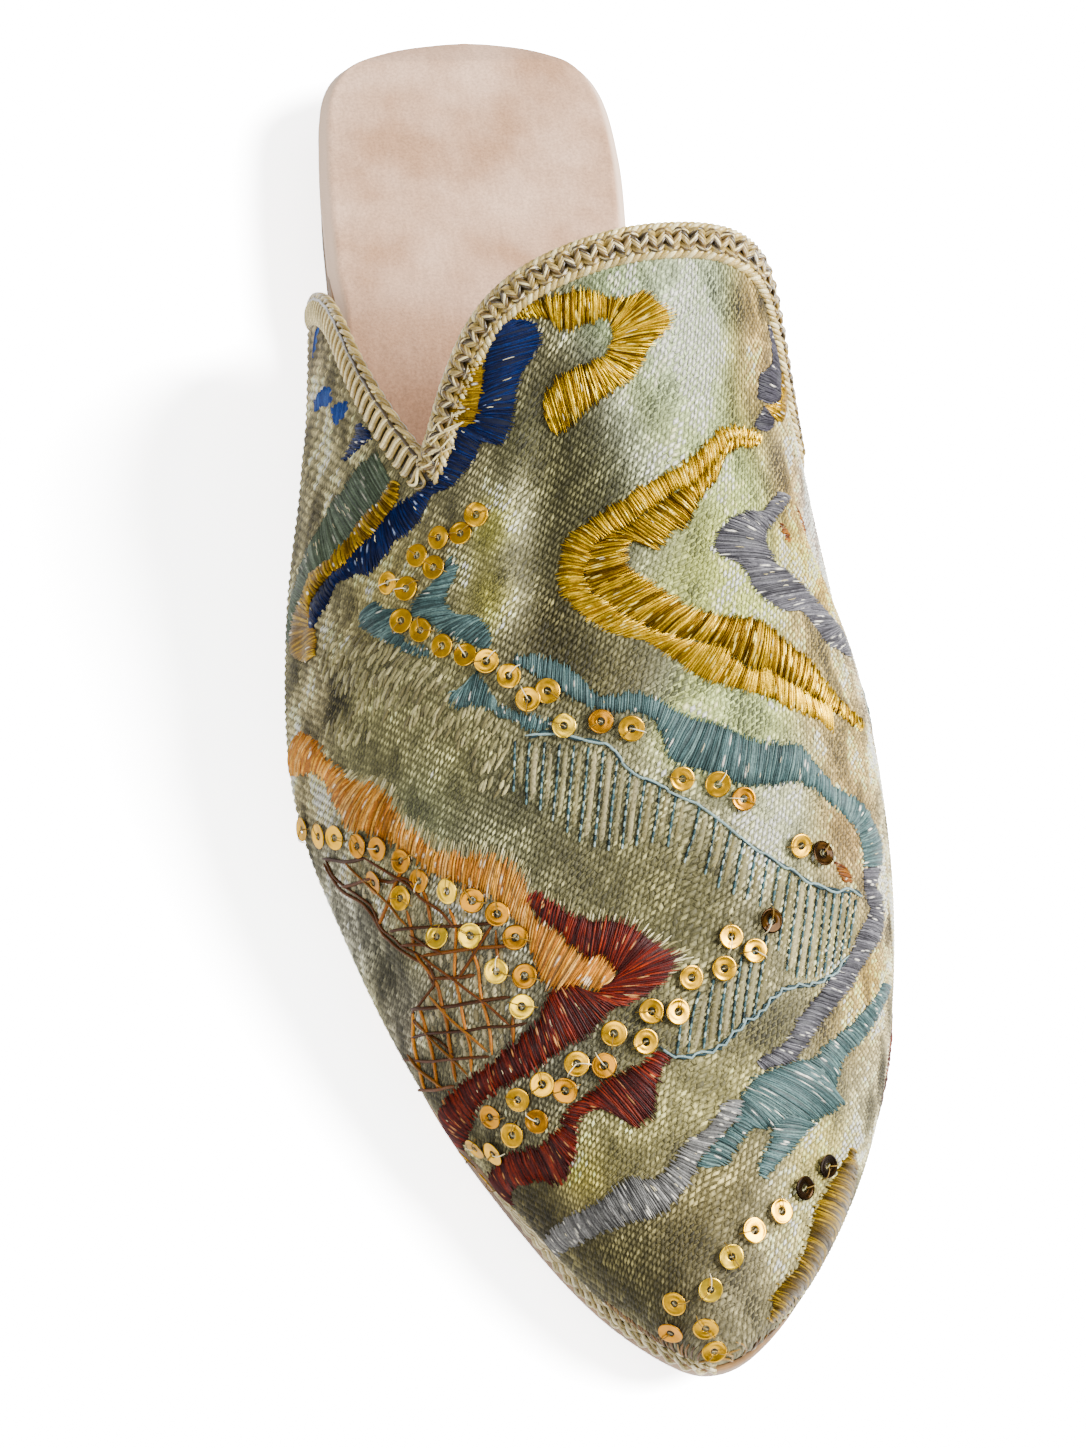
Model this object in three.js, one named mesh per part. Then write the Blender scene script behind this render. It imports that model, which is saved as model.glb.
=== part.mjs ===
// Babouche: a backless velvet slipper with a high tongue, for the right foot.
// Millimetres. +X is the wearer's inner side, -Y the toe, +Z up, and the floor is z = 0.
// A station is a distance from the heel along the sole. Girth runs round the foot, from the
// outer edge of the sole (0) over the crest (0.5) to the inner edge (1).
import * as THREE from "three";
import { mergeVertices } from "three/addons/utils/BufferGeometryUtils.js";

// Driving dimensions.
const LENGTH = 250; // outsole, heel to toe
const SOLE_THICK = 4;
const HEEL_LIFT = 9;
const TOE_SPRING = 7;
const SEAT_END = 60; // the heel seat is level up to this station
const FLOOR_FROM = 135; // the forefoot lies on the floor from here
const FLOOR_TO = 195; // to here, and curls up beyond
const WALL = 2.2; // velvet, backing and lining together
const LEDGE = 1.5; // outsole edge past the upper's lower edge
const GAP = 0.3; // between pieces that meet
const BRAID_WIDE = 6;
const BRAID_THICK = 3.4;
const INSOLE_THICK = 4;
const HEEL_BREAST = 57; // front face of the heel
const CENTRE_X = -0.7; // middle of the shoe's width, in the table's own x

// The last. Outer and inner are the outsole's edges; a swell is how far the upper stands out
// past that edge; crest is the upper's height above the outsole, and ridge is where it peaks.
const LAST = table(
  "station outer inner outerSwell innerSwell crest ridge",
  [0, 0.8, 0.8, 0, 0, 118, 7],
  [2.5, -15.2, 15.2, 0, 0, 116, 7],
  [10, -25.8, 23.6, 0, 0, 112, 7],
  [28, -29.2, 25.4, 0.8, 0.3, 106, 7],
  [60, -31, 23.2, 4.6, 2.2, 94, 7],
  [90, -36.6, 27.2, 3, 3.2, 81, 8],
  [120, -42, 33, 3.6, 2.6, 65, 9],
  [150, -43.7, 41.8, 4.2, 2.4, 53, 7.8],
  [175, -38.6, 44, 4.2, 2.2, 42.5, 6.5],
  [200, -31.2, 40.6, 3, 1.6, 32, 5.3],
  [220, -21.6, 34, 0.8, 0.4, 25, 5],
  [237, -11.4, 23.4, -0.5, -0.4, 18, 4.8],
  [247, -1.8, 13.2, -0.8, -0.8, 9, 4.8],
  [250, 5.2, 5.2, -0.8, -0.8, 0, 5.2],
);
const TOE_ROW = LAST.station.length - 1;
const ROUNDNESS = 0.85; // power of the section's curve: 1 is a half ellipse, less is boxier
const SHOULDER = 1.3; // extra fullness halfway up each side
const FULL_SHOULDER = 20; // crest height from which a row has all of it
const TUCK_HIGH = 10; // height over which the upper turns in to meet the sole
const TUCK_SHARE = 0.3; // and at most this share of the crest

// The middle line of the braid, from the outer wing tip round both notches to the inner one.
const COLLAR = table(
  "girth station",
  [0.004, 62.5],
  [0.035, 67.5],
  [0.085, 78],
  [0.15, 95],
  [0.21, 108.5],
  [0.245, 115.7],
  [0.262, 118.4],
  [0.275, 115.5],
  [0.29, 109],
  [0.312, 103.3],
  [0.345, 100],
  [0.4, 98.2],
  [0.5, 97],
  [0.6, 97.2],
  [0.655, 98.6],
  [0.688, 102.5],
  [0.708, 108],
  [0.724, 114],
  [0.742, 118.4],
  [0.76, 115.7],
  [0.795, 108.5],
  [0.85, 95],
  [0.915, 78],
  [0.965, 67.5],
  [0.996, 62.5],
);

// Mesh fineness.
const SOLE_ROWS = 44;
const UPPER_ROWS = 26;
const UPPER_COLUMNS = 54;
const BRAID_RINGS = 120;
const BRAID_SIDES = 8;

function table(header, ...rows) {
  const names = header.split(" ");
  return Object.fromEntries(names.map((name, i) => [name, rows.map((row) => row[i])]));
}

function clamp01(x) {
  return Math.min(Math.max(x, 0), 1);
}

function smooth(x) {
  const f = clamp01(x);
  return f * f * (3 - 2 * f);
}

function steps(count) {
  return Array.from({ length: count + 1 }, (_, i) => i / count);
}

// Height of the outsole's underside and of its top.
function underside(station) {
  const arch = 1 - smooth((station - SEAT_END) / (FLOOR_FROM - SEAT_END));
  const curl = Math.max(station - FLOOR_TO, 0) / (LENGTH - FLOOR_TO);
  return HEEL_LIFT * arch + TOE_SPRING * curl * curl;
}

function deck(station) {
  return underside(station) + SOLE_THICK;
}

function world(plan, z) {
  return new THREE.Vector3(plan.x - CENTRE_X, LENGTH / 2 - plan.y, z);
}

// A table column at a fractional row, smooth through the rows. Past the toe it carries on
// like a mirror image, or upside down where it falls to nothing there.
function column(values, row, flip = 1) {
  const i = Math.min(Math.floor(row), TOE_ROW - 1);
  const f = row - i;
  const a = values[i - 1] ?? values[1];
  const [b, c] = [values[i], values[i + 1]];
  const d = values[i + 2] ?? flip * values[TOE_ROW - 1];
  return b + 0.5 * f * (c - a + f * (2 * a - 5 * b + 4 * c - d + f * (3 * (b - c) + d - a)));
}

function rowAt(station) {
  let [low, high] = [0, TOE_ROW];
  while (high - low > 1e-7) {
    const middle = (low + high) / 2;
    if (column(LAST.station, middle) < station) low = middle;
    else high = middle;
  }
  return low;
}

// The outsole's outline: one closed curve up the outer side and back down the inner side.
const OUTLINE = new THREE.CatmullRomCurve3(
  [
    ...LAST.outer.map((x, i) => new THREE.Vector3(x, LAST.station[i], 0)),
    ...LAST.inner.map((x, i) => new THREE.Vector3(x, LAST.station[i], 0)).slice(1, -1).reverse(),
  ],
  true,
  "catmullrom",
  0.5,
);

// A point of the outline at a table row, moved inwards; side is -1 outer or 1 inner.
function edge(side, row, inset) {
  const along = row / (2 * TOE_ROW);
  const place = side < 0 ? along : 1 - along;
  const point = OUTLINE.getPoint(place);
  const tangent = OUTLINE.getTangent(place);
  return new THREE.Vector2(point.x + tangent.y * inset, point.y - tangent.x * inset);
}

// The upper's outer surface.
function skin(row, girth) {
  const crest = Math.max(column(LAST.crest, row, -1), 0);
  const ridge = column(LAST.ridge, row);
  const swing = -Math.cos(Math.PI * girth);
  const rise = Math.sin(Math.PI * girth);
  const side = swing < 0 ? -1 : 1;
  const reach = side * Math.abs(swing) ** ROUNDNESS;
  const height = crest * Math.abs(rise) ** ROUNDNESS;
  const tuck = (1 - Math.min(1, height / Math.min(TUCK_HIGH, TUCK_SHARE * crest + 0.01))) ** 2;
  const swells = { [-1]: column(LAST.outerSwell, row), [1]: column(LAST.innerSwell, row) };
  const outer = edge(-1, row, -swells[-1]);
  const inner = edge(1, row, -swells[1]);
  const plan = outer.clone().lerp(inner, (1 + reach) / 2);
  plan.x += (ridge - (outer.x + inner.x) / 2) * rise * rise;
  const full = clamp01(crest / FULL_SHOULDER);
  plan.x += SHOULDER * full * side * Math.abs(Math.sin(2 * Math.PI * girth));
  const foot = edge(side, row, LEDGE).sub(edge(side, row, -swells[side]));
  plan.addScaledVector(foot, tuck);
  return world(plan, deck(plan.y) + GAP + height);
}

const NUDGE = 1e-3;

function slopes(row, girth) {
  const [r0, r1] = [Math.max(row - NUDGE, 0), Math.min(row + NUDGE, TOE_ROW)];
  const [g0, g1] = [Math.max(girth - NUDGE, 0), Math.min(girth + NUDGE, 1)];
  const byRow = skin(r1, girth).sub(skin(r0, girth)).divideScalar(r1 - r0);
  const byGirth = skin(row, g1).sub(skin(row, g0)).divideScalar(g1 - g0);
  return { byRow, byGirth };
}

function outward(row, girth) {
  const { byRow, byGirth } = slopes(row, girth);
  return byRow.cross(byGirth).normalize();
}

// The upper's lining, a wall's thickness inside. Its lower edge stays on the sole.
function lining(row, girth) {
  const point = skin(row, girth);
  if (row === TOE_ROW) return point.add(new THREE.Vector3(0, WALL, 0));
  const inside = point.clone().addScaledVector(outward(row, girth), -WALL);
  if (girth === 0 || girth === 1) inside.z = point.z;
  return inside;
}

// A closed body between two grids of points that have the same rows and columns. The front
// faces the way of rows crossed with columns.
function between(front, back) {
  const [lastRow, lastColumn] = [front.length - 1, front[0].length - 1];
  const points = [...front.flat(), ...back.flat()];
  const f = (i, j) => i * (lastColumn + 1) + j;
  const b = (i, j) => f(i, j) + points.length / 2;
  const faces = [];
  const quad = (p, q, r, s) => faces.push([p, q, r], [p, r, s]);
  for (let i = 0; i < lastRow; i++) {
    for (let j = 0; j < lastColumn; j++) {
      quad(f(i, j), f(i + 1, j), f(i + 1, j + 1), f(i, j + 1));
      quad(b(i, j), b(i, j + 1), b(i + 1, j + 1), b(i + 1, j));
    }
    quad(f(i + 1, 0), f(i, 0), b(i, 0), b(i + 1, 0));
    quad(f(i, lastColumn), f(i + 1, lastColumn), b(i + 1, lastColumn), b(i, lastColumn));
  }
  for (let j = 0; j < lastColumn; j++) {
    quad(f(0, j), f(0, j + 1), b(0, j + 1), b(0, j));
    quad(f(lastRow, j + 1), f(lastRow, j), b(lastRow, j), b(lastRow, j + 1));
  }
  return closed(points, faces);
}

// A geometry with shared vertices merged and the faces that shrink to nothing left out.
function closed(points, faces) {
  const loose = new THREE.BufferGeometry().setFromPoints(points);
  loose.setIndex(faces.flat());
  const merged = mergeVertices(loose, 1e-4);
  const index = merged.index.array;
  const kept = [];
  for (let i = 0; i < index.length; i += 3) {
    const [a, b, c] = index.slice(i, i + 3);
    if (a !== b && b !== c && c !== a) kept.push(a, b, c);
  }
  merged.setIndex(kept);
  merged.computeVertexNormals();
  return merged;
}

// Two edges of the sole joined across by straight rows, each point at a height of its own.
function sheet(rows, across, inset, height) {
  return rows.map((row) => {
    const outer = edge(-1, row, inset(row));
    const inner = edge(1, row, inset(row));
    return across.map((part) => {
      const plan = outer.clone().lerp(inner, part);
      return world(plan, height(plan.y, part));
    });
  });
}

function outsoleGeometry() {
  const rows = steps(SOLE_ROWS).map((f) => f * TOE_ROW);
  const across = steps(6);
  const flush = () => 0;
  return between(sheet(rows, across, flush, deck), sheet(rows, across, flush, underside));
}

function heelGeometry() {
  const HEEL_INSET = 1;
  const rows = steps(16).map((f) => f * rowAt(HEEL_BREAST));
  const across = steps(6);
  const inset = () => HEEL_INSET;
  const top = sheet(rows, across, inset, () => HEEL_LIFT - GAP);
  return between(top, sheet(rows, across, inset, () => 0));
}

function insoleGeometry() {
  const SEAT_INSET = 0.8; // beside the bare heel seat
  const INSIDE_INSET = LEDGE + WALL + 1.1; // inside the upper and its braid
  const EDGE_SHARE = 0.55; // the turned edge's height, as a share of the thickness
  const [WIDE_TO, NARROW_FROM] = [45, 57]; // stations between which it draws in
  const EDGE_SHARPNESS = 14;
  const narrowing = (row) =>
    smooth((column(LAST.station, row) - WIDE_TO) / (NARROW_FROM - WIDE_TO));
  const inset = (row) => SEAT_INSET + (INSIDE_INSET - SEAT_INSET) * narrowing(row);
  const rows = steps(SOLE_ROWS).map((f) => f * TOE_ROW);
  const across = [0, 0.03, 0.1, 0.3, 0.5, 0.7, 0.9, 0.97, 1];
  const bulk = (part) => 1 - (1 - EDGE_SHARE) * Math.abs(2 * part - 1) ** EDGE_SHARPNESS;
  const lower = (station) => deck(station) + GAP;
  const upper = (station, part) => lower(station) + INSOLE_THICK * bulk(part);
  return between(sheet(rows, across, inset, upper), sheet(rows, across, inset, lower));
}

// Curves over the upper's surface are drawn flat, with girth unrolled to its usual length.
const UNROLLED = 190;

function flat(girth, station) {
  return new THREE.Vector2(girth * UNROLLED, station);
}

const COLLAR_LINE = new THREE.SplineCurve(
  COLLAR.girth.map((girth, i) => flat(girth, COLLAR.station[i])),
);

// A place on the collar, from 0 at the outer wing tip to 1 at the inner one, in the middle of
// the wall, with the way out of the surface and the way down into the vamp.
function collarPoint(part) {
  const at = COLLAR_LINE.getPointAt(clamp01(part));
  const [row, girth] = [rowAt(at.y), at.x / UNROLLED];
  const out = outward(row, girth);
  const middle = skin(row, girth).addScaledVector(out, -WALL / 2);
  return { row, girth, out, middle };
}

function collarFrame(part) {
  const along = collarPoint(part + NUDGE).middle.sub(collarPoint(part - NUDGE).middle);
  const place = collarPoint(part);
  return { ...place, down: along.cross(place.out).normalize() };
}

const CUT_GAP = 0.35; // between the cut and the braid
const FOOT_MARGIN = 0.015; // nearer to the sole than this the cut runs on straight
const SLOPE_SPAN = 4; // places between the two that give that straight run its slope

// The upper's edge, cut back to make room for the braid.
function cutLine() {
  const reach = BRAID_WIDE / 2 + CUT_GAP;
  const places = [];
  for (const part of steps(300)) {
    const { row, girth, down } = collarFrame(part);
    const { byRow, byGirth } = slopes(row, girth);
    const [a, b, c] = [byRow.dot(byRow), byRow.dot(byGirth), byGirth.dot(byGirth)];
    const [p, q] = [byRow.dot(down) * reach, byGirth.dot(down) * reach];
    const det = a * c - b * b;
    const cut = { girth: girth + (a * q - b * p) / det, row: row + (c * p - b * q) / det };
    const clear = cut.girth > FOOT_MARGIN && cut.girth < 1 - FOOT_MARGIN;
    if (clear) places.push(flat(cut.girth, column(LAST.station, cut.row)));
  }
  const start = carryOn(places[0], places[SLOPE_SPAN], 0);
  const end = carryOn(places.at(-1), places.at(-1 - SLOPE_SPAN), 1);
  return new THREE.SplineCurve([start, ...places, end]);
}

function carryOn(near, far, girth) {
  const slope = (near.y - far.y) / (near.x - far.x);
  const x = girth * UNROLLED;
  return new THREE.Vector2(x, near.y + slope * (x - near.x));
}

function upperGeometry() {
  const cut = cutLine();
  const starts = steps(UPPER_COLUMNS).map((f) => cut.getPointAt(f));
  const grid = (surface) =>
    steps(UPPER_ROWS).map((f) =>
      starts.map((start) => {
        const from = rowAt(start.y);
        const row = f === 1 ? TOE_ROW : from + (TOE_ROW - from) * f;
        return surface(row, start.x / UNROLLED);
      }),
    );
  return between(grid(skin), grid(lining));
}

function braidGeometry() {
  const length = COLLAR_LINE.getLength();
  const ROUND_END = BRAID_WIDE / 2;
  const END_RINGS = [0, 0.12, 0.4, 0.75].map((f) => (f * ROUND_END) / length);
  const body = steps(BRAID_RINGS).map((f) => (ROUND_END + f * (length - 2 * ROUND_END)) / length);
  const parts = [...END_RINGS, ...body, ...END_RINGS.map((part) => 1 - part).reverse()];
  const rings = parts.map((part) => {
    const { middle, out, down } = collarFrame(part);
    const end = clamp01((Math.min(part, 1 - part) * length) / ROUND_END);
    return { middle, out, down, size: Math.sqrt(1 - (1 - end) ** 2) / 2 };
  });
  const half = (turn) =>
    rings.map(({ middle, out, down, size }) =>
      steps(BRAID_SIDES / 2).map((f) => {
        const point = middle.clone();
        point.addScaledVector(down, BRAID_WIDE * size * Math.cos(Math.PI * f));
        point.addScaledVector(out, turn * BRAID_THICK * size * Math.sin(Math.PI * f));
        point.z = Math.max(point.z, deck(LENGTH / 2 - point.y) + GAP);
        return point;
      }),
    );
  return between(half(1), half(-1));
}

const LEATHER_EDGE = { color: 0x8a6338, roughness: 0.55, metalness: 0 };
const STACKED_LEATHER = { color: 0x7a5530, roughness: 0.6, metalness: 0 };
const PINK_SUEDE = { color: 0xd0b8a5, roughness: 0.95, metalness: 0 };
const SAGE_VELVET = { color: 0x96967a, roughness: 0.8, metalness: 0 };
const STRAW_BRAID = { color: 0xb9af87, roughness: 0.5, metalness: 0 };

const slipper = new THREE.Group();
const pieces = [
  ["outsole", outsoleGeometry, LEATHER_EDGE],
  ["heel", heelGeometry, STACKED_LEATHER],
  ["insole", insoleGeometry, PINK_SUEDE],
  ["upper", upperGeometry, SAGE_VELVET],
  ["collar_binding", braidGeometry, STRAW_BRAID],
];
for (const [name, geometry, finish] of pieces) {
  const mesh = new THREE.Mesh(geometry(), new THREE.MeshStandardMaterial(finish));
  mesh.name = name;
  slipper.add(mesh);
}

export default slipper;
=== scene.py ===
"""A babouche: a velvet slipper with satin-stitch embroidery, sequins and a braided collar."""

import math

import bpy
import numpy as np
from mathutils import Matrix, Vector

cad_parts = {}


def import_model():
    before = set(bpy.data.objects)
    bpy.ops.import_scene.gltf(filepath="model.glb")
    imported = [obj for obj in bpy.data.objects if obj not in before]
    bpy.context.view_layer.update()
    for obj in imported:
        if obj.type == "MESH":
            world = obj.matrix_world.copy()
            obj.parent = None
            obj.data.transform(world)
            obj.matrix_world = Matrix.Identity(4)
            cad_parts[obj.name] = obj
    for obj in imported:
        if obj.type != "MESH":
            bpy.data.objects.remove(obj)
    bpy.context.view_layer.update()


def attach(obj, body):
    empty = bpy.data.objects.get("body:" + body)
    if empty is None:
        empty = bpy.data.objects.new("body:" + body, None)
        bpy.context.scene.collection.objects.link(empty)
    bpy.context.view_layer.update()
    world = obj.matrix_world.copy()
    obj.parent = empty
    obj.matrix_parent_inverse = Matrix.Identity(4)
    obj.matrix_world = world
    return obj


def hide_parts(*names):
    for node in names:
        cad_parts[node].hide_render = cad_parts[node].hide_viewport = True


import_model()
MM = 0.001
rng = np.random.default_rng(11)

# ---------------------------------------------------------------- the last, as in the CAD
# Millimetres. A station is a distance from the heel. Girth runs from the outer edge of the
# sole (0) over the crest (50) to the inner edge (100).
LENGTH = 250
SOLE_THICK = 4
HEEL_LIFT = 9
TOE_SPRING = 7
WALL = 2.2
LEDGE = 1.5
GAP = 0.3
CENTRE_X = -0.7
HEEL_BREAST = 57
LAST = np.array(
    [  # station outer inner outerSwell innerSwell crest ridge
        [0, 0.8, 0.8, 0, 0, 118, 7],
        [2.5, -15.2, 15.2, 0, 0, 116, 7],
        [10, -25.8, 23.6, 0, 0, 112, 7],
        [28, -29.2, 25.4, 0.8, 0.3, 106, 7],
        [60, -31, 23.2, 4.6, 2.2, 94, 7],
        [90, -36.6, 27.2, 3, 3.2, 81, 8],
        [120, -42, 33, 3.6, 2.6, 65, 9],
        [150, -43.7, 41.8, 4.2, 2.4, 53, 7.8],
        [175, -38.6, 44, 4.2, 2.2, 42.5, 6.5],
        [200, -31.2, 40.6, 3, 1.6, 32, 5.3],
        [220, -21.6, 34, 0.8, 0.4, 25, 5],
        [237, -11.4, 23.4, -0.5, -0.4, 18, 4.8],
        [247, -1.8, 13.2, -0.8, -0.8, 9, 4.8],
        [250, 5.2, 5.2, -0.8, -0.8, 0, 5.2],
    ],
    float,
)
STATION, OUTER, INNER, OUTER_SWELL, INNER_SWELL, CREST, RIDGE = range(7)
TOE_ROW = len(LAST) - 1
COLLAR = np.array(
    [  # girth, station of the braid's middle line
        [0.4, 62.5], [3.5, 67.5], [8.5, 78], [15, 95], [21, 108.5], [24.5, 115.7], [26.2, 118.4],
        [27.5, 115.5], [29, 109], [31.2, 103.3], [34.5, 100], [40, 98.2], [50, 97], [60, 97.2],
        [65.5, 98.6], [68.8, 102.5], [70.8, 108], [72.4, 114], [74.2, 118.4], [76, 115.7],
        [79.5, 108.5], [85, 95], [91.5, 78], [96.5, 67.5], [99.6, 62.5],
    ],
    float,
)


def smooth(x):
    """From 0 to 1 without a corner."""
    f = np.clip(x, 0, 1)
    return f * f * (3 - 2 * f)


def bell(x, middle, width):
    return np.exp(-(((x - middle) / width) ** 2))


def underside(station):
    arch = 1 - smooth((station - 60) / 75)
    curl = np.clip(station - 195, 0, None) / 55
    return HEEL_LIFT * arch + TOE_SPRING * curl**2


def deck(station):
    return underside(station) + SOLE_THICK


def spline(values, row, before, after):
    """Catmull-Rom through values, which go on as before and after past the ends."""
    v = np.concatenate([[before], values, [after]])
    row = np.asarray(row, float)
    i = np.clip(np.floor(row).astype(int), 0, len(values) - 2)
    f = row - i
    a, b, c, d = v[i], v[i + 1], v[i + 2], v[i + 3]
    value = b + 0.5 * f * (c - a + f * (2 * a - 5 * b + 4 * c - d + f * (3 * (b - c) + d - a)))
    slope = 0.5 * (c - a + f * (2 * (2 * a - 5 * b + 4 * c - d) + 3 * f * (3 * (b - c) + d - a)))
    return value, slope


def column(k, row, flip=1):
    v = LAST[:, k]
    return spline(v, row, v[1], flip * v[-2])[0]


DENSE_ROWS = np.linspace(0, TOE_ROW, 5201)
DENSE_STATIONS = column(STATION, DENSE_ROWS)


def row_at(station):
    return np.interp(station, DENSE_STATIONS, DENSE_ROWS)


def edge(side, row, inset):
    """The outsole's outline, moved inwards: side is -1 outer or 1 inner."""
    k, other = (OUTER, INNER) if side < 0 else (INNER, OUTER)
    x, dx = spline(LAST[:, k], row, LAST[1, other], LAST[-2, other])
    y, dy = spline(LAST[:, STATION], row, LAST[1, STATION], LAST[-2, STATION])
    size = np.hypot(dx, dy) + 1e-12
    turn = -side / size
    return x + dy * turn * inset, y - dx * turn * inset


def world(x, y, z):
    return np.stack(np.broadcast_arrays(x - CENTRE_X, LENGTH / 2 - y, z), -1)


def shell(row, girth):
    """The upper's surface before its creases, as in the CAD."""
    row, girth = np.broadcast_arrays(np.asarray(row, float), np.asarray(girth, float) / 100)
    crest = np.maximum(column(CREST, row, -1), 0)
    swing, rise = -np.cos(np.pi * girth), np.sin(np.pi * girth)
    side = np.where(swing < 0, -1, 1)
    height = crest * np.abs(rise) ** 0.85
    tuck = (1 - np.minimum(1, height / np.minimum(10, 0.3 * crest + 0.01))) ** 2
    outer_swell, inner_swell = column(OUTER_SWELL, row), column(INNER_SWELL, row)
    ox, oy = edge(-1, row, -outer_swell)
    ix, iy = edge(1, row, -inner_swell)
    part = (1 + side * np.abs(swing) ** 0.85) / 2
    x, y = ox + (ix - ox) * part, oy + (iy - oy) * part
    x = x + (column(RIDGE, row) - (ox + ix) / 2) * rise**2
    x = x + 1.3 * side * np.abs(np.sin(2 * np.pi * girth)) * np.clip(crest / 20, 0, 1)
    lox, loy = edge(-1, row, LEDGE)
    lix, liy = edge(1, row, LEDGE)
    x = x + np.where(side < 0, lox - ox, lix - ix) * tuck
    y = y + np.where(side < 0, loy - oy, liy - iy) * tuck
    return world(x, y, deck(y) + GAP + height)


def lengths(steps):
    """The way gone at each place of a line whose steps are given."""
    return np.concatenate([[0], np.cumsum(steps)])


def unit(v):
    return v / (np.linalg.norm(v, axis=-1, keepdims=True) + 1e-12)


def slopes(row, girth):
    row = np.clip(row, 0.01, TOE_ROW - 0.02)
    girth = np.clip(girth, 0.15, 99.85)
    by_row = shell(row + 0.004, girth) - shell(row - 0.004, girth)
    by_girth = shell(row, girth + 0.1) - shell(row, girth - 0.1)
    return by_row / 0.008, by_girth / 0.2


# The girth's whole length at each station, for distances along the surface.
ARC_STATIONS = np.arange(40, 250.1, 5)
_ring = shell(row_at(ARC_STATIONS)[:, None], np.linspace(0, 100, 201)[None, :])
ARC_LENGTHS = np.linalg.norm(np.diff(_ring, axis=1), axis=-1).sum(1)


def arc(station):
    """Millimetres per hundredth of girth."""
    return np.interp(station, ARC_STATIONS, ARC_LENGTHS) / 100


# ---------------------------------------------------------------- creases
# Height (a trough is negative) and half width in millimetres, then points [station, girth].
CREASES = [
    (1.5, 3.2, [[112, 36.2], [124, 35.2], [136, 34.9], [146, 35.2], [156, 36.4]]),
    (-1.7, 5.0, [[116, 38.6], [128, 38.2], [140, 38.0], [150, 38.8]]),
    (-0.9, 3.6, [[108, 43], [114, 46], [118, 52], [119, 58]]),
    (0.8, 4.5, [[124, 44], [130, 50], [132, 57]]),
    (-1.2, 4.5, [[122, 66], [130, 69], [137, 74], [143, 82]]),
    (0.9, 4.0, [[112, 62], [120, 67], [128, 72]]),
    (-0.9, 3.4, [[128, 14], [138, 20], [146, 28], [151, 34]]),
    (0.7, 3.4, [[134, 13], [144, 21], [152, 29], [157, 36]]),
    (-0.8, 3.0, [[118, 8], [130, 9], [142, 8]]),
    (-0.9, 4.0, [[152, 44], [155, 50], [158, 57], [163, 64]]),
    (0.8, 4.4, [[160, 52], [164, 60], [170, 68]]),
    (-0.7, 4.0, [[184, 42], [186, 48], [184, 55]]),
    (-0.9, 3.0, [[176, 9], [184, 12], [192, 13]]),
    (0.7, 3.0, [[178, 16], [186, 17.5], [194, 16]]),
    (-0.8, 3.5, [[216, 18], [220, 26], [221, 34]]),
    (0.8, 3.5, [[222, 24], [226, 34], [226, 44]]),
    (-0.6, 3.2, [[232, 20], [234, 34], [234, 48]]),
    (-0.7, 3.0, [[84, 5], [94, 8], [104, 12]]),
    (0.6, 3.0, [[90, 3], [100, 6], [110, 10]]),
    (-0.8, 3.4, [[90, 93], [102, 90], [112, 84]]),
    (0.7, 3.6, [[130, 90], [146, 86], [160, 85]]),
    (-0.7, 3.6, [[150, 92], [166, 90], [182, 91]]),
]


def along(points, count):
    """A smooth line through points [station, girth], with that many places on it."""
    p = np.array(points, float)
    q = np.linspace(0, len(p) - 1, count)
    ends = [2 * p[0] - p[1], 2 * p[-1] - p[-2]]
    return np.stack([spline(p[:, k], q, ends[0][k], ends[1][k])[0] for k in (0, 1)], -1)


def relief(station, girth):
    """How far the creases lift the surface, in millimetres."""
    station, girth = np.broadcast_arrays(np.asarray(station, float), np.asarray(girth, float))
    total = np.zeros(station.shape)
    scale = arc(station)
    for high, wide, points in CREASES:
        line = along(points, 14)
        near = np.full(station.shape, 1e9)
        share = np.zeros(station.shape)
        for i, (s, g) in enumerate(line):
            gap = (station - s) ** 2 + ((girth - g) * scale) ** 2
            closer = gap < near
            near = np.where(closer, gap, near)
            share = np.where(closer, np.sin(np.pi * (i + 0.5) / len(line)), share)
        total += high * share**0.7 * np.exp(-near / wide**2)
    return total


def skin(station, girth, lift=0.0):
    """(point, way out) on the creased upper; lift is millimetres above it."""
    station, girth = np.broadcast_arrays(np.asarray(station, float), np.asarray(girth, float))
    row = row_at(station)
    by_row, by_girth = slopes(row, girth)
    out = unit(np.cross(by_row, by_girth))
    fade = np.clip(np.minimum(girth, 100 - girth) / 3, 0, 1)
    point = shell(row, girth) + out * (relief(station, girth) * fade + lift)[..., None]
    return point, out


# ---------------------------------------------------------------- meshes
def linear(code):
    """A hex colour as linear red, green, blue and an alpha of 1."""
    c = np.array([int(code[i : i + 2], 16) for i in (1, 3, 5)]) / 255
    c = np.where(c <= 0.04045, c / 12.92, ((c + 0.055) / 1.055) ** 2.4)
    return (*c, 1.0)


def deep(code, power=1.5, gain=0.95):
    """A hex colour for cloth and thread, made deeper because their sheen pales them."""
    return np.array(linear(code)[:3]) ** power * gain


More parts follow.
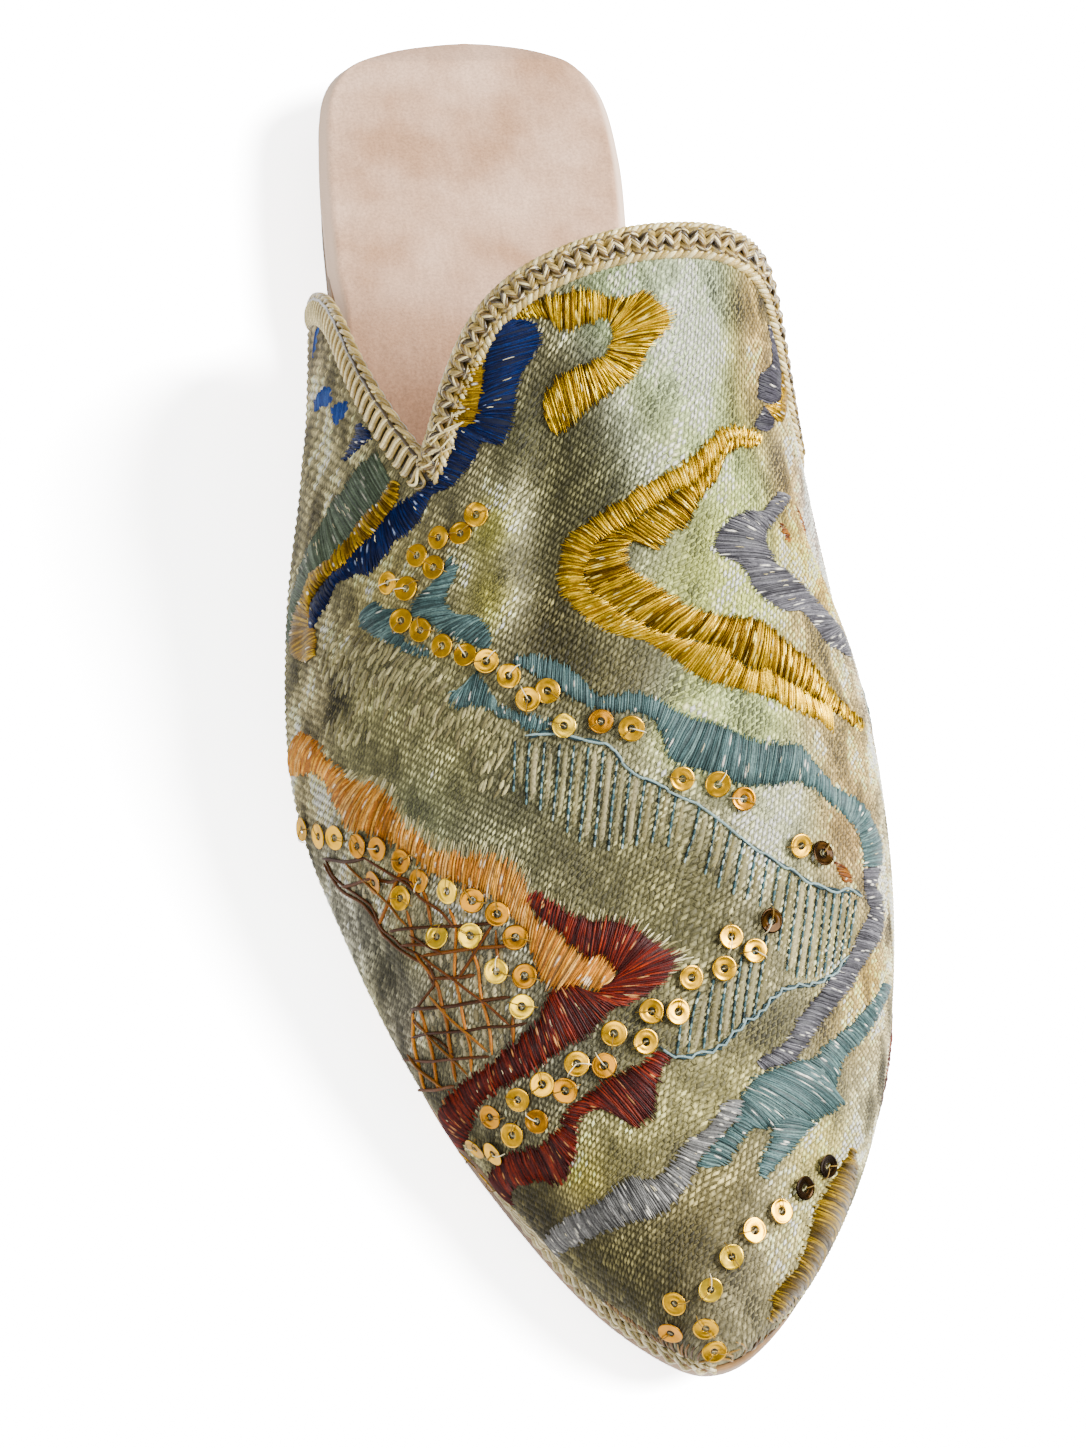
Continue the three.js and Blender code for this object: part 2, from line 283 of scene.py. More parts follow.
def build(name, points, faces, material, body="root"):
    """A piece from points in millimetres and faces of 3 or 4 corners."""
    mesh = bpy.data.meshes.new(name)
    points = np.asarray(points, float).reshape(-1, 3) * MM
    faces = [np.asarray(f) for f in (faces if isinstance(faces, list) else [faces]) if len(f)]
    loops = np.concatenate([f.ravel() for f in faces])
    sizes = np.concatenate([np.full(len(f), f.shape[1]) for f in faces])
    mesh.vertices.add(len(points))
    mesh.vertices.foreach_set("co", points.ravel())
    mesh.loops.add(len(loops))
    mesh.loops.foreach_set("vertex_index", loops.astype(np.int32))
    mesh.polygons.add(len(sizes))
    starts = np.concatenate([[0], np.cumsum(sizes)[:-1]])
    mesh.polygons.foreach_set("loop_start", starts.astype(np.int32))
    mesh.polygons.foreach_set("use_smooth", np.ones(len(sizes), bool))
    mesh.update(calc_edges=True)
    mesh.validate()
    mesh.materials.append(material)
    piece = bpy.data.objects.new(name, mesh)
    bpy.context.scene.collection.objects.link(piece)
    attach(piece, body)
    return piece


def paint(piece, name, values):
    """A colour for each vertex."""
    data = piece.data.color_attributes.new(name, "FLOAT_COLOR", "POINT")
    colours = np.ones((len(piece.data.vertices), 4), np.float32)
    colours[:, : values.shape[-1]] = values.reshape(-1, values.shape[-1])
    data.data.foreach_set("color", colours.ravel())


def unwrap(piece, places):
    """UVs from one place (u, v) for each vertex, in centimetres."""
    layer = piece.data.uv_layers.new(name="flat")
    index = np.zeros(len(piece.data.loops), np.int32)
    piece.data.loops.foreach_get("vertex_index", index)
    layer.data.foreach_set("uv", places[index].astype(np.float32).ravel())


def lattice(rows, columns, first=0, close=False):
    """Quads of a grid of rows x columns points; close joins the last column to the first."""
    i = np.arange(rows - 1)[:, None]
    j = np.arange(columns if close else columns - 1)[None, :]
    k = (j + 1) % columns
    corners = [i * columns + j, (i + 1) * columns + j, (i + 1) * columns + k, i * columns + k]
    return first + np.stack(np.broadcast_arrays(*corners), -1).reshape(-1, 4)


def copies(faces, count, size):
    """The faces of one piece of so many points, repeated for each of count pieces."""
    return (faces[None] + (np.arange(count) * size)[:, None, None]).reshape(-1, faces.shape[1])


def between(front, back):
    """Points and quads of a closed body between two grids of the same shape."""
    rows, columns = front.shape[:2]
    size = rows * columns
    faces = [lattice(rows, columns), lattice(rows, columns, size)[:, ::-1]]
    for i, turn in ((0, 1), (rows - 1, -1)):
        a = i * columns + np.arange(columns - 1)
        faces.append(np.stack([a, a + 1, a + 1 + size, a + size], -1)[:, ::turn])
    for j, turn in ((0, -1), (columns - 1, 1)):
        a = np.arange(rows - 1) * columns + j
        faces.append(np.stack([a, a + columns, a + columns + size, a + size], -1)[:, ::turn])
    return np.concatenate([front.reshape(-1, 3), back.reshape(-1, 3)]), np.concatenate(faces)


def tubes(centres, across, out, wide, thick, sides):
    """Tubes as wide and thick as given at each place: centres is (tube, place, 3), with its own
    across and out.
    """
    count, places = centres.shape[:2]
    turn = 2 * np.pi * np.arange(sides) / sides
    wide = np.broadcast_to(np.asarray(wide, float), (count, places))[..., None, None] / 2
    thick = np.broadcast_to(np.asarray(thick, float), (count, places))[..., None, None] / 2
    ring = (
        centres[:, :, None]
        + across[:, :, None] * np.cos(turn)[:, None] * wide
        + out[:, :, None] * np.sin(turn)[:, None] * thick
    )
    faces = copies(lattice(places, sides, close=True), count, places * sides)
    return ring.reshape(-1, 3), faces


def rounded(places):
    """A taper to nothing at both ends."""
    v = np.linspace(0, 1, places)
    return np.clip(np.sin(np.pi * np.clip(v, 0.004, 0.996)), 0, 1) ** 0.3


# ---------------------------------------------------------------- materials
def material(name):
    """(material, a function that adds a node, its links, the shader)"""
    made = bpy.data.materials.new(name)
    made.use_nodes = True
    nodes, links = made.node_tree.nodes, made.node_tree.links
    shader = nodes["Principled BSDF"]

    def node(kind, inputs=None, **facts):
        n = nodes.new("ShaderNode" + kind)
        for key, value in facts.items():
            setattr(n, key, value)
        for key, value in (inputs or {}).items():
            if isinstance(value, bpy.types.NodeSocket):
                links.new(value, n.inputs[key])
            else:
                n.inputs[key].default_value = value
        return n

    return made, node, links, shader


def mix(node, kind, share, a, b):
    """A colour mix node's result."""
    n = node("Mix", data_type="RGBA", blend_type=kind)
    for socket, value in zip([n.inputs[0], n.inputs[6], n.inputs[7]], [share, a, b]):
        if isinstance(value, bpy.types.NodeSocket):
            n.id_data.links.new(value, socket)
        else:
            socket.default_value = value
    return n.outputs[2]


def ramp(node, source, low, high, at=(0.0, 1.0)):
    n = node("ValToRGB", {0: source})
    n.color_ramp.elements[0].position, n.color_ramp.elements[1].position = at
    n.color_ramp.elements[0].color, n.color_ramp.elements[1].color = low, high
    return n.outputs[0]


def grey(value):
    return (value, value, value, 1)


def shade(node, colour, source, low, high, at=(0.0, 1.0)):
    """The colour times a grey that runs from low to high as the source does."""
    return mix(node, "MULTIPLY", 1.0, colour, ramp(node, source, grey(low), grey(high), at))


def dress(node, links, shader, colour, height=None, strength=0.0, distance=0.0, **facts):
    """Gives the shader its colour, its bump in metres and its own plain values."""
    links.new(colour, shader.inputs["Base Color"])
    if height is not None:
        bump = node("Bump", {"Height": height, "Strength": strength, "Distance": distance})
        links.new(bump.outputs[0], shader.inputs["Normal"])
    for name, value in facts.items():
        shader.inputs[name.replace("_", " ")].default_value = value


def velvet_material():
    made, node, links, shader = material("sage_velvet")
    flat = node("UVMap", uv_map="flat").outputs[0]
    # pile carries the velvet's colour with painted sheen and painted shade
    pile = node("Attribute", attribute_name="pile").outputs[0]
    wobble = node("TexNoise", {"Vector": flat, "Scale": 3.0, "Detail": 3.0}).outputs[1]
    shifted = node("VectorMath", {0: wobble, 1: (0.16, 0.16, 0.16)}, operation="MULTIPLY")
    bent = node("VectorMath", {0: flat, 1: shifted.outputs[0]}, operation="ADD").outputs[0]
    turned = node("Mapping", {"Vector": bent, "Rotation": (0, 0, 0.5)}).outputs[0]
    dashes = node("TexBrick", {"Vector": turned, "Scale": 1.0, "Mortar Size": 0.016,
                               "Mortar Smooth": 1.0, "Brick Width": 0.15, "Row Height": 0.08,
                               "Color1": grey(1.0), "Color2": grey(0.72), "Mortar": grey(0.0)},
                  offset=0.4)
    tall = node("Mapping", {"Vector": flat, "Rotation": (0, 0, -0.25), "Scale": (34, 11, 1)})
    fuzz = node("TexNoise", {"Vector": tall.outputs[0], "Scale": 1.0, "Detail": 4.0})
    crush = node("TexNoise", {"Vector": flat, "Scale": 1.6, "Detail": 4.0, "Distortion": 0.8})
    bald = ramp(node, crush.outputs[0], grey(0.2), grey(0.95), (0.4, 0.62))
    weave = mix(node, "MIX", bald, grey(0.62), dashes.outputs[0])
    fibre = node("TexNoise", {"Vector": flat, "Scale": 24.0, "Detail": 5.0, "Roughness": 0.75})
    colour = shade(node, pile, weave, 0.5, 1.22)
    colour = shade(node, colour, fibre.outputs[0], 0.5, 1.55, (0.32, 0.7))
    colour = shade(node, colour, fuzz.outputs[0], 0.68, 1.4, (0.32, 0.7))
    colour = shade(node, colour, crush.outputs[0], 0.82, 1.18, (0.35, 0.66))
    height = node("Math", {0: weave, 1: fuzz.outputs[0]}, operation="ADD").outputs[0]
    dress(node, links, shader, colour, height, 0.8, 0.00035, Roughness=0.86, Sheen_Weight=0.05,
          Sheen_Roughness=0.35, Sheen_Tint=linear("#f4f2da"), Specular_IOR_Level=0.12)
    return made


def thread_material(name, roughness, sheen=0.03, coat=0.0, metallic=0.0, shine=0.3):
    """Silk whose dye is painted on each thread, with fine lengthwise filaments."""
    made, node, links, shader = material(name)
    dye = node("Attribute", attribute_name="dye").outputs[0]
    place = node("TexCoord").outputs["Object"]
    fibre = node("TexNoise", {"Vector": place, "Scale": 3800.0, "Detail": 2.0})
    slow = node("TexNoise", {"Vector": place, "Scale": 260.0, "Detail": 3.0})
    colour = shade(node, dye, fibre.outputs[0], 0.68, 1.32, (0.3, 0.7))
    colour = shade(node, colour, slow.outputs[0], 0.78, 1.22, (0.3, 0.7))
    dress(node, links, shader, colour, fibre.outputs[0], 0.3, 0.0001, Roughness=roughness,
          Sheen_Weight=sheen, Coat_Weight=coat, Coat_Roughness=0.25, Metallic=metallic,
          Specular_IOR_Level=shine)
    return made


def suede_material():
    made, node, links, shader = material("pink_suede")
    place = node("TexCoord").outputs["Object"]
    nap = node("TexNoise", {"Vector": place, "Scale": 1900.0, "Detail": 4.0, "Roughness": 0.7})
    cloud = node("TexNoise", {"Vector": place, "Scale": 55.0, "Detail": 4.0})
    brushed = node("Mapping", {"Vector": place, "Scale": (900, 160, 400)}).outputs[0]
    streak = node("TexNoise", {"Vector": brushed, "Scale": 1.0, "Detail": 3.0})
    colour = ramp(node, cloud.outputs[0], linear("#a07a5c"), linear("#c5a186"), (0.36, 0.66))
    colour = shade(node, colour, nap.outputs[0], 0.78, 1.16, (0.34, 0.66))
    colour = shade(node, colour, streak.outputs[0], 0.93, 1.07, (0.3, 0.7))
    # rim: painted highlight along the rolled edge
    rim = node("Attribute", attribute_name="rim").outputs["Fac"]
    colour = mix(node, "MIX", rim, colour, linear("#d2b49c"))
    # painted shade that deepens towards the tongue, with a slightly darker back tip
    tongue_shade = node("Attribute", attribute_name="tongue_shade").outputs["Fac"]
    dusk = node("Math", {0: tongue_shade, 1: cloud.outputs[0]}, operation="MULTIPLY").outputs[0]
    colour = mix(node, "MULTIPLY", 1.0, colour,
                 ramp(node, dusk, grey(1.0), (0.42, 0.35, 0.29, 1), (0.06, 0.6)))
    dress(node, links, shader, colour, nap.outputs[0], 0.35, 0.0002, Roughness=0.92,
          Sheen_Weight=0.12, Specular_IOR_Level=0.2)
    return made


def leather_material(name, dark, light):
    made, node, links, shader = material(name)
    place = node("TexCoord").outputs["Object"]
    layers = node("Mapping", {"Vector": place, "Scale": (120, 120, 2400)}).outputs[0]
    fibre = node("TexNoise", {"Vector": layers, "Scale": 1.0, "Detail": 4.0})
    grain = node("TexVoronoi", {"Vector": place, "Scale": 900.0})
    blot = node("TexNoise", {"Vector": place, "Scale": 90.0, "Detail": 4.0})
    colour = ramp(node, blot.outputs[0], linear(dark), linear(light), (0.32, 0.68))
    colour = shade(node, colour, fibre.outputs[0], 0.7, 1.25, (0.3, 0.7))
    height = node("Math", {0: grain.outputs[0], 1: fibre.outputs[0]}, operation="ADD").outputs[0]
    dress(node, links, shader, colour, height, 0.4, 0.0002, Roughness=0.5)
    return made


def lining_material():
    made, node, links, shader = material("lining_cloth")
    flat = node("UVMap", uv_map="flat").outputs[0]
    waves = []
    for angle in (0.0, math.pi / 2):
        turned = node("Mapping", {"Vector": flat, "Rotation": (0, 0, angle)}).outputs[0]
        waves.append(node("TexWave", {"Vector": turned, "Scale": 3.6,
                                      "Distortion": 0.6}).outputs[1])
    weave = node("Math", {0: waves[0], 1: waves[1]}, operation="MAXIMUM").outputs[0]
    fibre = node("TexNoise", {"Vector": flat, "Scale": 14.0, "Detail": 4.0}).outputs[0]
    colour = shade(node, ramp(node, fibre, linear("#b9a184"), linear("#d3bfa4")), weave, 0.8, 1.08)
    dress(node, links, shader, colour, weave, 0.5, 0.00015, Roughness=0.85)
    return made


def sequin_material():
    made, node, links, shader = material("gold_sequin")
    dye = node("Attribute", attribute_name="dye").outputs[0]
    place = node("TexCoord").outputs["Object"]
    scratch = node("TexNoise", {"Vector": place, "Scale": 700.0, "Detail": 4.0})
    colour = shade(node, dye, scratch.outputs[0], 0.8, 1.15, (0.35, 0.65))
    rough = node("MapRange", {0: scratch.outputs[0], 3: 0.2, 4: 0.42}).outputs[0]
    links.new(rough, shader.inputs["Roughness"])
    dress(node, links, shader, colour, Metallic=1.0, Coat_Weight=0.05)
    return made


VELVET = velvet_material()
SILK = thread_material("silk_thread", 0.45, sheen=0.0, shine=0.14)
GOLD_SILK = thread_material("gold_silk_thread", 0.34, sheen=0.0, metallic=0.65, shine=0.05)
COTTON = thread_material("cotton_thread", 0.62, sheen=0.1)
NAP = thread_material("velvet_nap", 0.6, sheen=0.06, shine=0.16)
CORD = thread_material("straw_cord", 0.32, coat=0.2, shine=0.5)
SUEDE = suede_material()
SOLE_LEATHER = leather_material("sole_leather", "#54391c", "#8f6b3c")
HEEL_LEATHER = leather_material("stacked_leather", "#4a3018", "#7d5a34")
LINING = lining_material()
SEQUIN = sequin_material()


# ---------------------------------------------------------------- collar line
GIRTH_MM = 1.9  # about how many millimetres a hundredth of girth is near the collar


def collar_line(count):
    """Places on the braid's middle line, evenly apart: (station, girth) each."""
    p = COLLAR.copy()
    p[:, 0] *= GIRTH_MM
    q = np.linspace(0, len(p) - 1, 6001)
    x = spline(p[:, 0], q, p[0, 0], p[-1, 0])[0]
    y = spline(p[:, 1], q, p[0, 1], p[-1, 1])[0]
    length = lengths(np.hypot(np.diff(x), np.diff(y)))
    f = np.linspace(0, length[-1], count)
    return np.interp(f, length, y), np.interp(f, length, x) / GIRTH_MM


def collar_frame(count, depth=WALL / 2):
    """Along the braid: station, girth, point inside the wall, way out, way down the vamp."""
    station, girth = collar_line(count)
    point, out = skin(station, np.clip(girth, 0.5, 99.5), -depth)
    step = np.gradient(point, axis=0)
    down = unit(np.cross(step, out))
    out = unit(np.cross(down, step))
    return station, girth, point, out, down


def cut_line(count, reach):
    """(station, girth) of the velvet's upper edge, that far below the braid's middle."""
    station, girth, point, out, down = collar_frame(count)
    by_row, by_girth = slopes(row_at(station), girth)
    a, b, c = [(p * q).sum(-1) for p, q in
               ((by_row, by_row), (by_row, by_girth), (by_girth, by_girth))]
    p, q = (by_row * down).sum(-1) * reach, (by_girth * down).sum(-1) * reach
    det = a * c - b * b
    cut_girth = girth + (a * q - b * p) / det
    cut_row = row_at(station) + (c * p - b * q) / det
    keep = (cut_girth > 0.8) & (cut_girth < 99.2)
    g, s = cut_girth[keep], column(STATION, cut_row[keep])
    order = np.argsort(g)
    g, s = g[order], s[order]
    first = s[0] - (s[4] - s[0]) / (g[4] - g[0]) * g[0]
    last = s[-1] + (s[-1] - s[-5]) / (g[-1] - g[-5]) * (100 - g[-1])
    return np.concatenate([[first], s, [last]]), np.concatenate([[0], g, [100]])


# ---------------------------------------------------------------- upper
# The velvet's painted sheen and painted shade, with the crushed pile's own tone: station, girth,
# reach in mm, colour, strength.
PILE_SHEEN_AND_SHADE = [
    [70, 6, 16, "#a89d82", 0.9], [95, 8, 14, "#a89f80", 0.8], [112, 9, 10, "#a0987a", 0.7],
    [106, 52, 9, "#dadbc2", 0.9], [114, 52, 9, "#d4d5ba", 0.9], [121, 51, 8, "#cfd0b2", 0.8],
    [103, 45, 6, "#b9bda2", 0.6], [110, 60, 7, "#a8946c", 0.9], [117, 59, 6, "#ab9a70", 0.8],
    [104, 62, 5, "#b3a27a", 0.8], [122, 63, 6, "#d6ccb4", 0.8], [130, 66, 7, "#bda988", 0.8],
    [124, 46, 8, "#6f6c4c", 0.7], [116, 40, 6, "#767152", 0.6], [128, 43, 8, "#6a6545", 0.7],
    [127, 38, 5, "#807b5a", 0.9], [136, 38, 5, "#7e7856", 0.9], [145, 39, 5, "#6a6343", 0.8],
    [118, 36, 3.5, "#8f8a66", 0.7], [130, 34.4, 4, "#c9c3a0", 0.7], [140, 34, 4, "#c4bd98", 0.7],
    [126, 56, 7, "#cccdae", 0.7], [139, 52, 8, "#bfbe9c", 0.8], [144, 56, 6, "#cdccac", 0.8],
    [136, 47, 4, "#8b8765", 0.8], [151, 42, 6, "#6d6746", 0.7], [153, 46, 5, "#847d5b", 0.6],
    [148, 63, 5, "#b7a98a", 0.9], [154, 66, 6, "#c9bda2", 0.8], [160, 54, 7, "#d2d3b4", 0.8],
    [158, 72, 8, "#c8bba0", 0.9], [166, 70, 9, "#b8a98a", 0.9], [176, 68, 8, "#b7a280", 0.8],
    [150, 80, 12, "#d5ccb8", 0.9], [172, 60, 6, "#cbc9b2", 0.8], [178, 60, 5, "#cfceb8", 0.8],
    [128, 72, 8, "#ded7c6", 0.9], [138, 70, 6, "#cdbb9c", 0.8], [136, 63, 4, "#cdc5a6", 0.7],
    [132, 22, 7, "#b4ab8a", 0.7], [142, 12, 9, "#a79e80", 0.7], [150, 20, 8, "#a6a07c", 0.6],
    [155, 24, 8, "#a09a76", 0.7], [162, 29, 7, "#a09a74", 0.5], [158, 18, 6, "#9a9574", 0.6],
    [166, 24, 6, "#a5a486", 0.7], [173, 32, 7, "#8b8869", 0.5], [180, 38, 9, "#8c8664", 0.6],
    [146, 30, 6, "#a39c78", 0.5], [170, 38, 7, "#7e7a5c", 0.5], [152, 6, 7, "#b6ad92", 0.7],
    [166, 8, 7, "#b1ac97", 0.7], [174, 8, 6, "#9a9682", 0.8], [181, 11, 5, "#7c7862", 0.8],
    [184, 17, 4, "#aaa488", 0.8], [190, 12, 5, "#8a8570", 0.8], [196, 9, 5, "#a39c86", 0.6],
    [186, 26, 7, "#a8a491", 0.7], [196, 22, 8, "#a09a84", 0.7], [184, 45, 8, "#7f7956", 0.7],
    [190, 50, 7, "#7a7452", 0.6], [204, 50, 8, "#8f8764", 0.7], [210, 48, 8, "#9c946d", 0.7],
    [212, 52, 6, "#ada57d", 0.6], [198, 57, 7, "#9a9372", 0.6], [186, 62, 8, "#a8a182", 0.7],
    [192, 66, 7, "#bfb79a", 0.7], [206, 34, 7, "#84806a", 0.7], [211, 22, 7, "#8a8468", 0.7],
    [217, 42, 7, "#9c946a", 0.7], [219, 35, 6, "#a59c72", 0.7], [223, 28, 5, "#b9ae80", 0.8],
    [221, 14, 6, "#5e5634", 0.9], [225, 10, 5, "#4f4728", 0.8], [226, 19, 5, "#a49a6c", 0.6],
    [234, 16, 7, "#6e6746", 0.9], [238, 26, 8, "#756e4c", 0.9], [233, 34, 7, "#8a825e", 0.8],
    [236, 44, 8, "#857b56", 0.8], [228, 52, 7, "#8d835c", 0.8], [242, 54, 7, "#9a9170", 0.7],
    [222, 70, 7, "#c4bb9c", 0.8], [232, 66, 6, "#b9b192", 0.8], [240, 66, 6, "#b7ae90", 0.7],
    [246, 56, 6, "#aca384", 0.7], [204, 72, 6, "#b5a684", 0.8], [196, 76, 6, "#c2ae8c", 0.8],
    [214, 76, 7, "#b3ac92", 0.8], [188, 80, 8, "#cdc3ac", 0.8], [206, 84, 8, "#b9b096", 0.8],
    [110, 88, 14, "#a89f80", 0.7], [134, 90, 14, "#b0a88a", 0.7], [168, 92, 14, "#a49c80", 0.7],
    [196, 94, 12, "#9a9274", 0.6], [168, 12.5, 3.5, "#a9a286", 1.0], [174, 17, 4, "#a9a286", 1.2],
    [182, 20.5, 4, "#aea78c", 1.4], [188, 24, 4.5, "#aea78c", 1.4], [194, 25, 5, "#aca58a", 1.4],
    [199, 21, 5, "#a8a184", 1.4], [202, 12, 4, "#a19a7c", 1.2], [196, 14, 3, "#a9a286", 1.2],
]
PILE_BASE = "#98916f"
PILE_BASE_STRENGTH = 0.14
PILE_DEPTH = (1.35, 0.8)  # power and gain
PILE_CONTRAST = 1.45


def pile_colour_with_light(station, girth):
    """The velvet's colour at each place, with painted sheen and painted shade."""
    scale = arc(station)
    base = deep(PILE_BASE, *PILE_DEPTH)
    total = np.ones((*station.shape, 1)) * base * PILE_BASE_STRENGTH
    weight = np.full((*station.shape, 1), PILE_BASE_STRENGTH)
    for s, g, reach, code, share in PILE_SHEEN_AND_SHADE:
        gap = ((station - s) ** 2 + ((girth - g) * scale) ** 2) / reach**2
        w = (share * np.exp(-gap))[..., None]
        total += w * deep(code, *PILE_DEPTH)
        weight += w
    colour = base * (total / weight / base) ** PILE_CONTRAST
    light = colour.mean(-1, keepdims=True)
    # hold the light places back, make them creamier, and turn all a little towards green
    tint = np.interp(light, [0.02, 0.12, 0.35], [1.0, 0.95, 1.35])
    light = light * (1 - 0.22 * smooth((light - 0.2) / 0.3))
    bright = smooth((light - 0.08) / 0.3)
    hue = (colour - colour.mean(-1, keepdims=True)) * tint
    green, blue = 1.15 - 0.05 * bright, 1 + 0.5 * bright
    hue = np.concatenate([hue[..., :1], hue[..., 1:2] * green, hue[..., 2:] * blue], -1)
    return np.clip(light + hue, 0.004, 0.9)


def flat_place(station, girth):
    """UVs in centimetres along the surface."""
    return np.stack([(girth - 50) * arc(station) / 10, station / 10], -1)


def vamp_grid(columns, rows, reach):
    """(station, girth) of a grid over the whole upper, from the collar down to the toe."""
    station, girth = cut_line(1500, reach)
    length = lengths(np.hypot(np.diff(girth) * GIRTH_MM, np.diff(station)))
    f = np.linspace(0, length[-1], columns)
    start_s, start_g = np.interp(f, length, station), np.interp(f, length, girth)
    from_row = row_at(start_s)
    part = np.linspace(0, 1, rows)[:, None]
    row = from_row + (TOE_ROW - 0.003 - from_row) * part
    return column(STATION, row), np.broadcast_to(start_g, row.shape)


LINING_FRONT = 1.4  # how far under the velvet the lining's hidden face lies
LINING_END = 244  # the toe beyond is too narrow for it


def make_upper():
    station, girth = vamp_grid(260, 200, 1.6)
    point, _ = skin(station, girth)
    rim, _ = skin(station[:1], girth[:1], -1.6)
    points = np.concatenate([rim, point])
    piece = build("upper_velvet", points, lattice(*points.shape[:2]), VELVET)
    station, girth = np.concatenate([station[:1], station]), np.concatenate([girth[:1], girth])
    # the velvet under the tufts is made darker: painted shade in the gaps between them
    paint(piece, "pile", pile_colour_with_light(station, girth) * 0.62)
    unwrap(piece, flat_place(station, girth).reshape(-1, 2))
    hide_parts("upper")

    station, girth = vamp_grid(110, 70, 1.0)
    station = np.minimum(station, LINING_END)
    front, _ = skin(station, girth, -LINING_FRONT)
    back, _ = skin(station, girth, -WALL)
    points, faces = between(front, back)
    piece = build("upper_lining", points, faces, LINING)
    place = flat_place(station, girth).reshape(-1, 2)
    unwrap(piece, np.concatenate([place, place]))


# ---------------------------------------------------------------- sole, heel and insole
def sheet(rows, across, inset, height):
    """Two edges of the sole joined across by straight rows."""
    rows, across = rows[:, None], across[None, :]
    ox, oy = edge(-1, rows, inset)
    ix, iy = edge(1, rows, inset)
    x, y = ox + (ix - ox) * across, oy + (iy - oy) * across
    return world(x, y, height(y, across))


def slab(rows, profile, top, bottom):
    """A slab of the sole with a shaped edge: profile is (inset, height share) round the edge."""
    ring = []
    for inset, share in profile:
        ox, oy = edge(-1, rows, inset)
        ix, iy = edge(1, rows, inset)
        loop_x = np.concatenate([ox, ix[-2:0:-1]])
        loop_y = np.concatenate([oy, iy[-2:0:-1]])
        ring.append(world(loop_x, loop_y, bottom(loop_y) + share * (top(loop_y) - bottom(loop_y))))
    ring = np.array(ring)
    levels, count = ring.shape[:2]
    faces = [lattice(levels, count, close=True)[:, ::-1]]
    half = len(rows)
    for level, turn in ((0, 1), (levels - 1, -1)):
        first = level * count
        a = first + np.arange(1, half - 2)
        b = first + (count - np.arange(1, half - 2)) % count
        faces.append(np.stack([a, a + 1, b - 1, b], -1)[:, ::turn])
    tips = []
    for level, turn in ((0, 1), (levels - 1, -1)):
        first = level * count
        tips.append([first, first + 1, first + count - 1][::turn])
        tips.append([first + half - 2, first + half - 1, first + half][::turn])
    return ring.reshape(-1, 3), [np.concatenate(faces), np.array(tips)]


# A rounded edge from bottom to top: inset in millimetres, share of the height.
ROUND_EDGE = [
    (0.9, 0.0), (0.35, 0.04), (0.06, 0.2), (0.0, 0.5), (0.06, 0.8), (0.35, 0.96), (0.9, 1.0),
]


def make_sole():
    rows = np.linspace(0, TOE_ROW, 240)
    points, faces = slab(rows, ROUND_EDGE, deck, underside)
    piece = build("outsole_leather", points, faces, SOLE_LEATHER)
    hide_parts("outsole")

    rows = np.linspace(0, row_at(HEEL_BREAST), 90)
    points, faces, first = [], [], 0
    lifts = 3
    for k in range(lifts):
        low, high = k * (HEEL_LIFT - GAP) / lifts, (k + 1) * (HEEL_LIFT - GAP) / lifts
        inset = 1.0 + 0.12 * (lifts - 1 - k)
        profile = [(inset + a * 0.6, b) for a, b in ROUND_EDGE]
        p, f = slab(rows, profile, lambda y: high + 0 * y, lambda y: low + 0 * y)
        points.append(p)
        faces += [a + first for a in f]
        first += len(p)
    quads = [f for f in faces if f.shape[1] == 4]
    threes = [f for f in faces if f.shape[1] == 3]
    piece = build("heel_stack", np.concatenate(points),
                  [np.concatenate(quads), np.concatenate(threes)], HEEL_LEATHER)
    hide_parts("heel")


PAD_THICK = 4.0


def make_insole():
    """A padded sock: its edge is rolled down, and the heel has left a hollow in it."""
    rows = np.linspace(0.02, TOE_ROW - 0.02, 220)
    station = column(STATION, rows)[:, None]
    narrow = smooth((station - 49) / 10)
    inset_low = -0.4 + 4.8 * narrow
    inset_top = -0.5 + 1.5 * smooth((station - 50) / 12) + 2.2 * smooth((station - 175) / 40)
    across = (1 - np.cos(np.pi * np.linspace(0, 1, 61))) / 2
    rim = np.abs(2 * across - 1)

    def lower(y, part):
        return deck(y) + GAP

    def upper(y, part):
        ends = np.clip(np.minimum(y, LENGTH - y) / 5, 0, 1)
        off = 2 * part - 1
        dome = 1 - off**2
        edge_drop = 1 - 0.45 * np.abs(off) ** 16
        roll = 0.35 * bell(np.abs(off), 0.93, 0.035)
        crown = 0.25 * dome - 0.3 * bell(y, 30, 24) * dome
        gathers = 0.18 * np.sin(y * 1.9 + 3 * part) * bell(part, 0.06, 0.05) * bell(y, 82, 22)
        thick = PAD_THICK * edge_drop * (0.55 + 0.45 * ends)
        return deck(y) + GAP + thick + roll + crown + gathers

    points, faces = between(sheet(rows, across, inset_top, upper),
                            sheet(rows, across, inset_low, lower))
    piece = build("insole_pad", points, faces, SUEDE)
    # painted highlight along the rolled edge
    rim_highlight = smooth((rim - 0.93) / 0.04) * np.ones((len(rows), 1))
    # painted shade growing towards the tongue, and a slightly darker back tip
    tongue_shade = smooth((station - 38) / 45) * np.ones(rim.shape) + 0.25 * bell(station, 0, 9)
    for name, tone in (("rim", rim_highlight), ("tongue_shade", tongue_shade)):
        paint(piece, name, np.concatenate([tone.ravel(), tone.ravel()])[:, None] * np.ones(3))
    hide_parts("insole")


